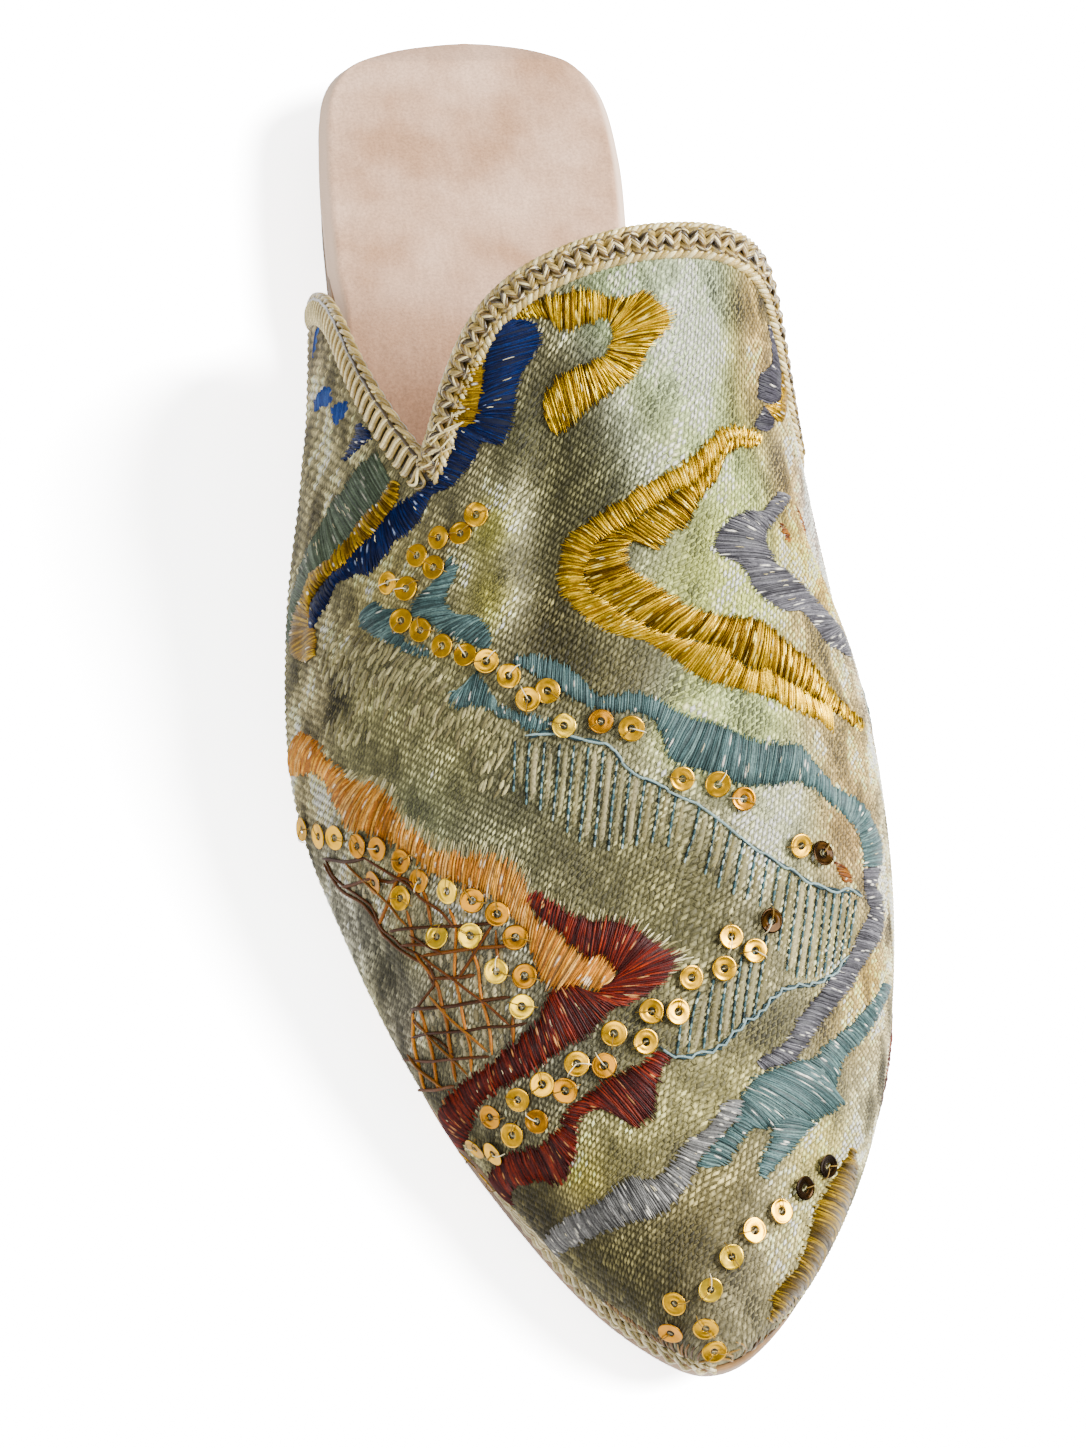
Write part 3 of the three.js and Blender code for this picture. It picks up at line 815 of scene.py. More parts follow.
# ---------------------------------------------------------------- braid
def strand_piece(name, paths, outs, wide, thick, tints, material_, sides=6):
    """Many threads as one piece. paths is a list of (place, 3), one out for each place."""
    points, faces, colours, first = [], [], [], 0
    for path, out, w, t, tint in zip(paths, outs, wide, thick, tints):
        step = np.gradient(path, axis=0)
        across = unit(np.cross(step, out))
        up = unit(np.cross(across, step))
        p, f = tubes(path[None], across[None], up[None], w, t, sides)
        points.append(p)
        faces.append(f + first)
        colours.append(np.broadcast_to(tint, (len(p), 3)))
        first += len(p)
    piece = build(name, np.concatenate(points), np.concatenate(faces), material_)
    paint(piece, "dye", np.concatenate(colours))
    return piece


# straw tones for the cords; the palest and the darkest are painted highlight and painted shade on
# whole strands
STRAW = [deep(c, 1.55, 0.85)
         for c in ("#b09c62", "#cab780", "#86713e", "#ecdfb2", "#67572e", "#bcaa72")]


TONGUE_GIRTHS = (27.0, 73.3)  # where the plait takes over from the whipped loops
LOOP_PITCH = 2.15


def plait(add, low, high):
    """The tongue: a flat plait of bundles of three cords, between two twisted edges."""
    q = np.linspace(low - 2, high + 2, 580)
    bundles, pitch = 6, 7.6
    for k in range(bundles):
        phase = 2 * math.pi * (q / pitch + k / bundles)
        for pair in (-0.5, 0.0, 0.5):
            side = 0.1 + 1.5 * np.sin(phase) + pair * np.cos(phase)
            rise = 1.1 + 0.62 * np.cos(2 * phase + (k % 2) * math.pi)
            add(q, side, rise, 0.56, 0.62, STRAW[(k * 2 + round(2 * pair) + 1) % 6])
    for centre, size, turns, k0 in ((2.2, 0.5, 3.4, 1), (-1.75, 0.4, 3.0, 3)):
        for k in range(3):
            phase = 2 * math.pi * (q / turns + k / 3)
            add(q, centre + size * np.cos(phase), 0.75 + size * np.sin(phase), 0.92, 0.8,
                STRAW[(k0 + k * 2) % 6])


def whip(add, low, high):
    """A wing: loops whipped over the edge, with smooth cords along both sides."""
    loops = int((high - low) / LOOP_PITCH) + 1
    v = np.linspace(0, 1, 17)
    turn = np.pi * (0.04 + 0.92 * v)
    for i in range(loops):
        start = low + (i + 0.5) * (high - low) / loops
        for shift, tint in ((0.0, 3), (0.5, 0), (-0.5, 1)):
            slant = 1.7 * (v - 0.5) + 0.55 * np.sin(2 * np.pi * v)
            rise = 1.55 * np.sin(turn) ** 0.7 - 0.15 + abs(shift) * -0.25
            add(start + shift + slant, 0.1 + 2.5 * np.cos(turn), rise, 0.54, 0.56, STRAW[tint])
    q = np.linspace(low, high, 420)
    for k in range(2):
        phase = 2 * math.pi * (q / 5.2 + k / 2)
        add(q, -2.35 + 0.3 * np.cos(phase), 0.35 + 0.45 * np.sin(phase), 0.9, 0.9, STRAW[k])
        add(q, 2.55 + 0.2 * np.cos(phase), 0.1 + 0.2 * np.sin(phase), 0.8, 0.7, STRAW[k + 2])
    for k, side in enumerate((-1.7, -1.1)):
        add(q, side + 0.1 * np.sin(q), 1.05 - 0.1 * k, 0.75, 0.6, STRAW[(k + 4) % 6])


def loose_threads(add, low):
    """A few threads where the braid doubles back at the outer notch."""
    v = np.linspace(0, 1, 15)
    for i in range(5):
        start = low + rng.uniform(-2, 5)
        side = -1 + 4.4 * v + 0.5 * np.sin(5 * v + i)
        add(start + 5 * v, side, 1.9 - 0.6 * v**2, 0.32, 0.3, STRAW[3])


def make_braid():
    _, girth, middle, out, down = collar_frame(2400, WALL / 2 - 0.4)
    length = lengths(np.linalg.norm(np.diff(middle, axis=0), axis=1))
    total = length[-1]

    def at(distance, side, high):
        """Points on the braid's own frame: along, across (down the vamp) and out."""
        distance = np.clip(distance, 0, total)
        centre, o, d = [np.stack([np.interp(distance, length, v[:, k]) for k in range(3)], -1)
                        for v in (middle, out, down)]
        end = np.clip(np.minimum(distance, total - distance) / 3, 0, 1)
        squeeze = np.sqrt(1 - (1 - end) ** 2)
        point = centre + d * (side * squeeze)[:, None] + o * (high * squeeze)[:, None]
        low = deck(LENGTH / 2 - point[:, 1]) + GAP
        point[:, 2] = np.maximum(point[:, 2], low)
        return point, unit(o)

    # a dark core, painted shade that fills the gaps between strands
    core_places, core_sides = 400, 12
    q = np.linspace(0, total, core_places)
    ring = [at(q, 0.2 + 2.0 * math.cos(a), 1.05 * math.sin(a))[0]
            for a in np.linspace(0, 2 * math.pi, core_sides + 1)[:-1]]
    piece = build("collar_shade_core", np.stack(ring, 1), lattice(core_places, core_sides, close=True),
                  CORD)
    paint(piece, "dye", np.ones((core_places * core_sides, 3)) * deep("#4c4326"))
    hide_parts("collar_binding")

    strands = []

    def add(distance, side, high, w, t, tint):
        point, o = at(distance, side, high)
        strands.append((point, o, w, t, np.array(tint) * rng.uniform(0.85, 1.12)))

    def finish(name):
        piece = strand_piece(name, *zip(*strands), CORD, 5)
        strands.clear()

    low, high = np.interp(TONGUE_GIRTHS, girth, length)
    plait(add, low, high)
    finish("collar_plait")
    whip(add, 0.0, low)
    whip(add, high, total)
    loose_threads(add, low)
    finish("collar_whipping")


# ---------------------------------------------------------------- embroidery
SPLIT = 2.4  # a longer stitch goes down into the cloth about this often
STITCH_PLACES = 12  # along each stitch
BED_PLACES = 7  # across the padding
FOOT_GIRTH = 0.6  # nearer to the sole than this no thread goes
COVERED = []  # outlines of the embroidery [station, girth], where the nap is left out


def on_upper(girth):
    return np.clip(girth, FOOT_GIRTH, 100 - FOOT_GIRTH)


def swell(part):
    """How full a stitch is along its length."""
    return np.sin(np.pi * np.clip(part, 0.02, 0.98)) ** 0.55


def loft(size):
    """Long stitches stand higher than short ones."""
    return np.clip(size / 4, 0.35, 1.15)[:, None]


def on_line(line, length, f):
    """The line's columns at the distances f."""
    return np.stack([np.interp(f, length, line[:, c]) for c in range(line.shape[1])], -1)


def padding(line, length, base, rise):
    """The padding under the stitches: its points, and how many rows they make."""
    rows = max(int(length[-1] / 1.1), 3)
    pad = on_line(line, length, np.linspace(0, length[-1], rows))
    v = np.linspace(0.04, 0.96, BED_PLACES)[None, :, None]
    sg = pad[:, None, :2] + (pad[:, None, 2:] - pad[:, None, :2]) * v
    size = np.hypot(pad[:, 2] - pad[:, 0], (pad[:, 3] - pad[:, 1]) * arc(pad[:, 0])) + 0.05
    lift = base - 0.14 + rise * loft(size) * swell(v[..., 0]) * 0.9
    return skin(sg[..., 0], on_upper(sg[..., 1]), lift)[0], rows


def satin(name, keys, colours, pitch=0.29, wide=0.31, rise=0.5, ragged=0.7, base=0.12,
          material_=SILK, spread=0.14, lights=0.04, light="#e8e4d8", gap=1.0, bed=True):
    """Satin stitch. Keys are stitches [station, girth, station, girth], one edge to the other.

    pitch, wide, rise and base are millimetres: between threads, their width, how high the band
    is padded and where it starts. ragged is how far its ends overshoot. spread is how much the
    dye varies, and three times lights is the share of threads with a painted highlight, a spot of
    the light colour.
    gap is the share of the threads that is kept, and bed adds the padding.
    """
    k = np.array(keys, float)
    COVERED.append(np.concatenate([k[:, :2], k[::-1, 2:]]))
    q = np.linspace(0, len(k) - 1, len(k) * 24)
    line = np.stack([spline(k[:, c], q, 2 * k[0, c] - k[1, c], 2 * k[-1, c] - k[-2, c])[0]
                     for c in range(4)], -1)
    scale = arc((line[:, 0] + line[:, 2]) / 2)
    move = np.diff(line, axis=0)
    far = [np.hypot(move[:, c], move[:, c + 1] * scale[1:]) for c in (0, 2)]
    length = lengths(np.maximum(*far) * 0.8 + np.minimum(*far) * 0.2)
    count = max(int(length[-1] / pitch * gap), 3)
    f = (np.arange(count) + 0.5 + rng.uniform(-0.3, 0.3, count)) / count * length[-1]
    stitch = on_line(line, length, f)
    scale = arc((stitch[:, 0] + stitch[:, 2]) / 2)
    size = np.hypot(stitch[:, 2] - stitch[:, 0], (stitch[:, 3] - stitch[:, 1]) * scale) + 0.05
    short, long_ = -0.25 * ragged, ragged
    a = stitch[:, :2] - (stitch[:, 2:] - stitch[:, :2]) * (
        rng.uniform(short, long_, count) / size)[:, None]
    b = stitch[:, 2:] + (stitch[:, 2:] - stitch[:, :2]) * (
        rng.uniform(short, long_, count) / size)[:, None]
    places = STITCH_PLACES
    v = np.linspace(0, 1, places)[None, :, None]
    sg = a[:, None] + (b - a)[:, None] * v
    bow = rng.uniform(-0.35, 0.35, count)[:, None] * np.sin(np.pi * v[..., 0])
    sg[..., 0] += bow
    sg[..., 1] = on_upper(sg[..., 1])
    high = rise * loft(size) * swell(v[..., 0])
    parts = np.maximum(1, np.round(size / SPLIT))[:, None]
    turn = np.pi * (parts * v[..., 0] + rng.uniform(0, 1, count)[:, None])
    pinch = np.where(parts > 1, 1 - np.abs(np.sin(turn)) ** 0.6, 0)
    lift = base + high * (1 - 0.3 * pinch) + rng.uniform(-0.07, 0.09, count)[:, None]
    centre, out = skin(sg[..., 0], sg[..., 1], lift)
    step = np.gradient(centre, axis=1)
    across = unit(np.cross(step, out))
    taper = rounded(places)[None, :, None]
    w = wide * rng.uniform(0.8, 1.25, count)[:, None, None] * taper / 2
    strip = np.stack([centre - across * w - out * 0.16, centre + out * 0.1,
                      centre + across * w - out * 0.16], 2)
    faces = copies(lattice(places, 3), count, places * 3)
    palette = np.array([deep(c) for c in colours])
    dye = palette[rng.integers(0, len(palette), count)]
    dye = dye * rng.uniform(1 - spread, 1 + spread, (count, 1))
    dye = np.repeat(dye[:, None], places, 1)
    # the thread is darker where it dips into the cloth: painted shade
    dye *= rng.uniform(0.82, 1.18, (count, places, 1)) * (1 - 0.45 * pinch[..., None])
    # painted highlights: short spots of the light colour on some threads
    for k in np.flatnonzero(rng.uniform(0, 1, count) < lights * 3):
        first = rng.integers(0, places - 2)
        dye[k, first : first + 2] = deep(light) * rng.uniform(0.6, 1.0)
    dye = np.repeat(dye, 3, 1)

    points, dye = strip.reshape(-1, 3), dye.reshape(-1, 3)
    if bed:
        under, rows = padding(line, length, base, rise)
        faces = np.concatenate([faces, lattice(rows, BED_PLACES, len(points))])
        points = np.concatenate([points, under.reshape(-1, 3)])
        # the padding is dark: painted shade in the gaps between threads
        dye = np.concatenate([dye, np.ones((under.size // 3, 3)) * palette.mean(0) * 0.4])
    piece = build(name, points, faces, material_)
    paint(piece, "dye", dye)
    return piece


def thread_lines(name, lines, colours, thick, material_=SILK, lift=0.35, sway=0.0, step=0.9,
                 sides=6, spread=0.2):
    """Threads laid on the surface along lines of [station, girth]."""
    paths, outs, wide, thicks, tints = [], [], [], [], []
    palette = [deep(c) for c in colours]
    for line in lines:
        p = np.array(line, float)
        size = np.hypot(np.diff(p[:, 0]), np.diff(p[:, 1]) * arc(p[1:, 0])).sum()
        places = max(int(size / step), 4)
        sg = along(p, places)
        wave = rng.uniform(0, 6)
        v = np.linspace(0, 1, places)
        up = lift + sway * np.sin(v * size * 0.9 + wave)
        point, out = skin(sg[:, 0], on_upper(sg[:, 1]), up)
        paths.append(point)
        outs.append(out)
        t = thick * rng.uniform(0.85, 1.15)
        end = np.clip(np.minimum(v, 1 - v) * size / thick, 0.15, 1) ** 0.5
        wide.append(t * end)
        thicks.append(t * end)
        tints.append(palette[rng.integers(0, len(palette))] * rng.uniform(1 - spread, 1 + spread))
    return strand_piece(name, paths, outs, wide, thicks, tints, material_, sides)


NAVY = ["#133668", "#102e5e", "#1a4074", "#0c2854"]
NAVY_BAND = [
    [103.4, 33.4, 103.2, 35], [104.6, 31.9, 104.8, 37.3], [106.3, 31.9, 107, 37.9],
    [109, 32, 109.1, 36.8], [111.6, 31.5, 111.4, 35.7], [113.5, 31.3, 115.4, 35.3],
    [114.3, 30.4, 118.7, 34.4], [113.6, 29, 117.5, 32.2], [115, 28.6, 118.9, 31.7],
    [117.4, 28, 120.3, 30.8], [119.6, 27.2, 121.8, 29.3], [120.6, 26, 121.9, 27.3],
    [120.8, 24.8, 124, 26.3], [120.9, 23.6, 125.6, 25.2], [121.5, 22.3, 125.9, 23.3],
    [122.2, 21.2, 127.5, 21.9], [123.4, 20, 128.5, 20.2], [123.7, 18.2, 127.4, 18.9],
    [124.5, 16.3, 127.1, 17.4], [124, 14.4, 126.4, 15.4], [124.7, 12.6, 128.2, 14],
    [125.4, 10.8, 129, 12.4], [127.7, 10.3, 130.2, 11.7], [129.2, 10.4, 130.4, 11],
]
NAVY_SPIKE = [[104.4, 16.8, 105, 17.6], [105.8, 16.9, 108.4, 19.4], [106.8, 16, 108.4, 17.4],
              [107.8, 15, 108.4, 15.5]]
OCHRE = ["#ac9008", "#987c06", "#bca010", "#826a04"]
OCHRE_PATCH = [[105.8, 30.9, 106, 31.8], [108, 29.8, 109, 32.2], [110.3, 29.2, 111.6, 31.9],
               [112, 28.8, 113.8, 31.7], [113.3, 28.7, 114.8, 30.6]]
OCHRE_BAND = [
    [116.8, 22.4, 117.8, 23.4], [118, 21.8, 120.2, 23.3], [118.9, 21.1, 121.5, 22.3],
    [119.5, 18.8, 123, 20.6], [121, 17.7, 123.7, 18.3], [121.3, 15.8, 124.5, 16.4],
    [121.6, 13.8, 124, 14.5], [120.6, 10.6, 124.7, 12.6], [121.2, 9.3, 125.1, 10.9],
    [121.9, 7.2, 126.6, 10.4], [124, 5.8, 128.8, 10.4], [127.3, 5.8, 130.6, 12],
    [130.4, 7, 133.2, 12.5], [133.8, 9.6, 135.2, 12.3],
]
SLATE = ["#7f8a78", "#727d6c", "#8a9484", "#68725f"]
SLATE_PATCH = [
    [111.4, 20.4, 116.6, 22.4], [111, 17.8, 118.7, 21], [112.7, 15.5, 119.3, 18.6],
    [112.8, 14, 120.8, 17.5], [114.6, 12.2, 121.5, 13.8], [115.3, 8.4, 120.4, 10.6],
    [117.5, 5.8, 121.3, 8.2], [119.5, 4.4, 123.6, 5.8], [123, 3.6, 127, 5.6],
]
BLUE = ["#4a68a0", "#3c5a94", "#5574aa"]
BLUE_PATCHES = [
    [[86, 5, 88.4, 5.4], [88.4, 7.7, 90.6, 7.4], [91.6, 10.2, 93.6, 9.8],
     [94.6, 11.4, 95, 11.2]],
    [[96, 11.2, 96.8, 11.5], [97, 12.6, 99.9, 12.6], [98.2, 13.9, 100.5, 13.6],
     [99.3, 14.9, 100.6, 14.9]],
    [[75, 5.2, 77.6, 4.3], [76.2, 6.4, 78.4, 5.4]],
]
GOLD = ["#b69a04", "#907404", "#ccb00a", "#6e5604", "#c0a206", "#e0c622"]
GOLD_HOOK = [
    [102.9, 34.8, 103.4, 35], [102.2, 36.1, 103.6, 36.6], [102, 37.6, 104.2, 38.3],
    [101.9, 40, 106.4, 40], [102.1, 42.3, 106.2, 42.3], [103, 43.6, 105.9, 43.6],
    [103.9, 45, 106.1, 44.6], [103.7, 47.1, 106.8, 44.9], [103.4, 48.4, 107.4, 45],
    [106.7, 50.3, 108.4, 45], [110.1, 48.5, 109.6, 44.7], [113.4, 47, 110.8, 44.2],
    [115.4, 44.5, 111.2, 43], [117, 42.3, 111.6, 41.5], [118.4, 41, 112, 39.8],
    [119.3, 39.5, 114, 38.3], [118.3, 38.7, 116.6, 38.2],
]
BOOMERANG_OUTER = [
    [121, 60.2, 121.6, 60], [120.3, 58, 121.6, 57.6], [120.4, 55.6, 122, 56],
    [120.9, 54.4, 123, 55], [122.2, 53.2, 125.2, 53.4], [123.8, 51.8, 127, 52],
    [126.3, 49.8, 129, 50.2], [128.8, 46.9, 131.6, 48], [130.8, 44.6, 133.8, 45.7],
    [132.8, 42, 135, 43.5], [133.9, 40.6, 136.4, 42.8], [137, 39.9, 138.4, 42.3],
    [140, 39.7, 140.6, 42.2], [142.4, 40.4, 142.4, 42.8], [144.6, 41.6, 143.8, 44],
    [147, 43.2, 145.8, 45.3], [148.7, 45.1, 147.8, 47.2], [149.8, 47.2, 149.4, 49],
    [152.7, 49.4, 150.5, 50.7], [155.4, 51, 151.2, 52.6], [156.5, 53, 153.2, 54.2],
    [157.5, 55, 154.4, 55.8], [158.5, 58, 154.7, 58], [159.4, 60, 156, 60.2],
    [160.2, 62.4, 157.2, 62], [161, 64.8, 158, 64.2], [161.8, 66.4, 158.6, 66.4],
]
BOOMERANG_INNER = [
    [121.6, 60, 122, 59.8], [121.7, 57.7, 122.7, 57.5], [122, 56, 123.3, 55.8],
    [123, 55, 124.6, 54.5], [125.2, 53.4, 127.8, 53.2], [127, 52, 129.5, 52],
    [129, 50.2, 131.6, 51.2], [130.6, 48.9, 133.8, 50.6], [132.2, 47.4, 135.2, 49.5],
    [133.8, 45.7, 137.2, 48.4], [134.6, 44.4, 136.4, 47.6], [135.4, 43.4, 135.8, 46.6],
    [136.6, 42.6, 136.4, 46], [138.4, 42.3, 137.8, 45.8], [140.6, 42.2, 139.4, 45.9],
    [142.4, 42.8, 140.4, 46.7], [143.8, 44, 141.6, 47.6], [145.8, 45.3, 143.2, 48.8],
    [147.8, 47.2, 144.8, 49.8], [149.4, 49, 146.2, 50.8], [150.5, 50.7, 147, 52.4],
    [151.2, 52.6, 147.4, 54], [153.2, 54.2, 147.5, 55.6], [154.4, 55.8, 147.9, 57.2],
    [154.7, 58, 149.3, 58.6], [156, 60.2, 151.2, 61], [157.2, 62, 152.6, 63.4],
    [158, 64.2, 154.8, 65.2], [158.6, 66.4, 156.6, 67.6], [159.4, 69.5, 157.8, 69.6],
    [159.8, 72, 158.3, 72.4], [159.8, 74, 158.4, 75],
]
LILAC = ["#706e72", "#7b797d", "#646266", "#878588", "#58565a"]
LILAC_UPPER = [
    [128.3, 62.1, 128.3, 64.5], [130.2, 60.2, 130, 63], [131.9, 58.6, 132.2, 61],
    [132.2, 56.6, 134.2, 59.2], [133.4, 54.4, 135.4, 58.6], [135.6, 53, 136.6, 58.9],
    [137.6, 52.6, 137.8, 59.3], [138.9, 53.6, 138.8, 59.6], [139.4, 54.8, 139.6, 60],
    [141, 55.9, 139.9, 61.3], [143, 56.4, 141, 63], [144.6, 57.8, 142.2, 64.8],
    [146, 60.3, 143.4, 66.4], [145.4, 62.6, 144.2, 68.4], [146.6, 64.2, 144.8, 70],
    [149, 66.6, 145.2, 72.6], [149.4, 69.4, 146.6, 73.8], [149.2, 72.6, 148.6, 74.6],
]
CHARCOAL = ["#55525a", "#45424a", "#66636b"]
CHARCOAL_PATCHES = [
    [[104.8, 64.6, 105.2, 65.6], [107, 65, 107.6, 66.9], [109.6, 64.6, 110, 67.2],
     [111.8, 62, 111.6, 66.6], [112.6, 60.8, 112.8, 65.8], [114.4, 60.3, 114.2, 65],
     [115.8, 60.1, 115.8, 63.2]],
    [[116.6, 61.2, 117.2, 61.8], [118, 60, 118, 62.8], [119.2, 59.2, 118.6, 63],
     [119.8, 59.2, 119.8, 61.6]],
]
GOLD_BIT = [[110, 67.2, 110.4, 68.6], [112, 66.4, 112.4, 69], [114.2, 65.2, 113.8, 67.8],
            [116, 62.8, 115.8, 66], [116.6, 61.4, 117, 65], [117.6, 62.2, 118.2, 63.8]]
RUST_BITS = [
    [[133, 61.4, 133.4, 62.2], [134.2, 61.5, 134.2, 62.8], [135.6, 62.2, 135.2, 63.2]],
    [[128.6, 67, 129, 68.4], [130.4, 67.6, 130.6, 69.4], [132, 68.6, 132, 69.8]],
    [[180.6, 66.2, 181.2, 68.4], [182, 67, 182.2, 69.4], [183.4, 68.2, 183.2, 69.8]],
]
TEAL = ["#667c7b", "#5c7271", "#708583", "#7b908c", "#526766"]
TEAL_PATCHES = [
    [[133.5, 19.1, 133.2, 20.8], [135.2, 18.9, 135.4, 22.2], [136.6, 19.6, 136.8, 23.7],
     [138.6, 21, 138.6, 23.2], [141.4, 23.3, 140.7, 24], [143.2, 24.6, 142.6, 25.2],
     [145.2, 27, 144.4, 27]],
    [[133, 28.8, 132.2, 29.4], [134.4, 28.2, 134.4, 30.1], [135.4, 26.9, 136.2, 29.4],
     [136.8, 25.4, 138, 28.9], [138.2, 25.3, 139.2, 29.1], [140, 27, 140.8, 30],
     [142, 28.2, 141.6, 31.2], [143.8, 29.5, 142.4, 32.3], [145.2, 31, 144, 33.1],
     [146.4, 32.2, 145.4, 33.4], [147.2, 33, 146.8, 33.5]],
    [[151.6, 29.1, 151.8, 30], [153.6, 29.5, 150.6, 31.3], [154.6, 31, 150, 31.9],
     [154.5, 32.2, 152.2, 32.8], [155.8, 33.4, 154.2, 33.5], [157, 34.2, 155.6, 34.2],
     [158.2, 35.6, 157, 35.7], [159.5, 36.6, 157.9, 37], [159.8, 38.8, 159, 38.8]],
    [[150.3, 35.6, 149.5, 35.6], [151.3, 36.8, 149.6, 36.9], [152.6, 38, 150.2, 38.2],
     [154.4, 39.6, 151.4, 39.8], [156.8, 41.2, 153.4, 41.3], [158, 42.8, 156.3, 42.8],
     [158.8, 44.2, 157.1, 44.3], [159.3, 46, 156.8, 46.2], [160.6, 47.6, 158, 48],
     [163, 48.4, 159.8, 49.4], [166.6, 49, 161, 50.4], [168.2, 50.6, 161.8, 52],
     [169.4, 52.6, 163, 53.5], [170.6, 54.4, 164.2, 55], [170.6, 56.4, 164.9, 57],
     [170.2, 58.8, 165, 59.6], [170, 61, 165.6, 61.3], [170.7, 63, 167.6, 63.2],
     [172.2, 65.5, 169.8, 65.5], [173.6, 68, 170.8, 68.6], [174.6, 69.8, 171.4, 71.8],
     [175.8, 71, 173, 75.6], [178.6, 72.2, 175.8, 78.6], [180.4, 72.4, 178.6, 78.2]],
]
LILAC_LOWER = [
    [180.6, 72.4, 179.2, 77.6], [183, 72.4, 182.4, 75.8], [185, 73.2, 183.4, 78],
    [185.9, 74.4, 185.6, 78.8], [187.8, 73.3, 187.6, 78.6], [189.9, 71.7, 190, 77.4],
    [192.3, 70.6, 192, 75.4], [193.9, 69.5, 194, 73.6], [195.9, 67.7, 196, 72],
    [197.4, 66.4, 198, 70.6], [199.2, 65, 199.8, 69], [201.2, 63.4, 202, 67],
    [203.4, 61.6, 204.2, 65], [205, 60.9, 205.8, 64], [206.7, 59.8, 207.4, 62.9],
    [207.8, 58.3, 209.4, 61.2], [208.6, 56.8, 209.9, 58.8], [209.2, 56, 210.6, 57],
]
TEAL_LOWER = [
    [[195.6, 79.8, 195, 84.6], [198.6, 77.2, 199, 80.6], [201.2, 74, 202.4, 77.5],
     [203.5, 71.5, 204.8, 75.2], [205.2, 68.9, 206.9, 72.2], [207, 66.5, 209, 70.2],
     [208.8, 65.2, 211.7, 69.8], [209.3, 62.6, 213.6, 70], [210, 60, 215, 72.2],
     [210.8, 57.4, 216.6, 69.6], [211.8, 55.6, 217.8, 67], [213.4, 54.6, 218.8, 63],
     [214.8, 54, 219, 58], [217.4, 53.2, 219, 56], [219, 52.2, 220.4, 54],
     [220.8, 50.4, 222.4, 52.6], [222.6, 49.2, 224, 51.4], [224, 48.2, 224.4, 49.8]],
    [[217, 60, 218.6, 66.6], [219.2, 58.6, 219.6, 65], [220.8, 58.8, 221.4, 63.4],
     [222.4, 57.7, 223.2, 61.4], [224.3, 57, 225, 59.4], [226.2, 56.9, 226.6, 57.8]],
]
SILVER = ["#83827f", "#8f8e8b", "#767573", "#9b9996"]
GREY_LOWER = [
    [214.6, 52.5, 214.8, 54], [216.4, 51.1, 217.4, 53.2], [218.4, 49.9, 219, 52],
    [219.8, 48.5, 220.6, 50.4], [221.2, 46.8, 222.6, 49], [222.6, 45.6, 224.4, 48],
    [224, 43.7, 226.8, 46.2], [225, 42, 228.2, 44.3], [225.1, 40.2, 229.4, 42.4],
    [224.3, 38.1, 230.2, 39.8], [224.9, 35.4, 230.3, 36.4], [225.8, 32.3, 230.3, 32.7],
    [226.7, 28.9, 230.4, 29.3], [227, 25, 230.7, 24.8], [227.2, 21.3, 230.6, 20.4],
    [227.5, 15.2, 230.3, 15], [227.6, 9.5, 230, 10], [227.6, 5, 229.6, 5],
]
APRICOT = ["#c8963c", "#d0a44e", "#bc8630", "#dcb470", "#ac7c26"]
APRICOT_BAND = [
    [144.5, 4.2, 143.6, 5.4], [147, 4.2, 144.2, 7.6], [148.6, 6, 146.4, 9.8],
    [151, 9.2, 149, 11.6], [153.4, 11.6, 152.4, 13], [156.2, 12.5, 155.4, 15],
    [159, 13, 157.6, 16.4], [162.4, 13.8, 159.2, 18.4], [165.4, 17, 161.6, 20.2],
    [167.4, 19, 164.6, 21], [169.6, 20.6, 167, 21.8], [172, 22, 169.4, 23.3],
    [174.4, 23.5, 172, 24.6], [176.2, 25.2, 173.4, 26.2], [177.8, 27, 174.4, 28],
    [179.4, 29, 175.4, 30.6], [181.6, 30.8, 176.8, 32.4], [184, 32, 179.4, 34],
    [186.4, 33.2, 183, 34.4], [189.4, 33.7, 185.6, 35], [192.4, 34.1, 187.4, 37],
    [195, 34.8, 190, 38.2], [195.6, 36.8, 192, 39.9], [195.6, 39, 192.2, 41.4],
    [196.8, 40.2, 193.4, 42.4], [195.9, 41.4, 195.2, 42.7],
]
MAROON = ["#702504", "#5f1c03", "#7e2f08", "#511603", "#8f4014"]
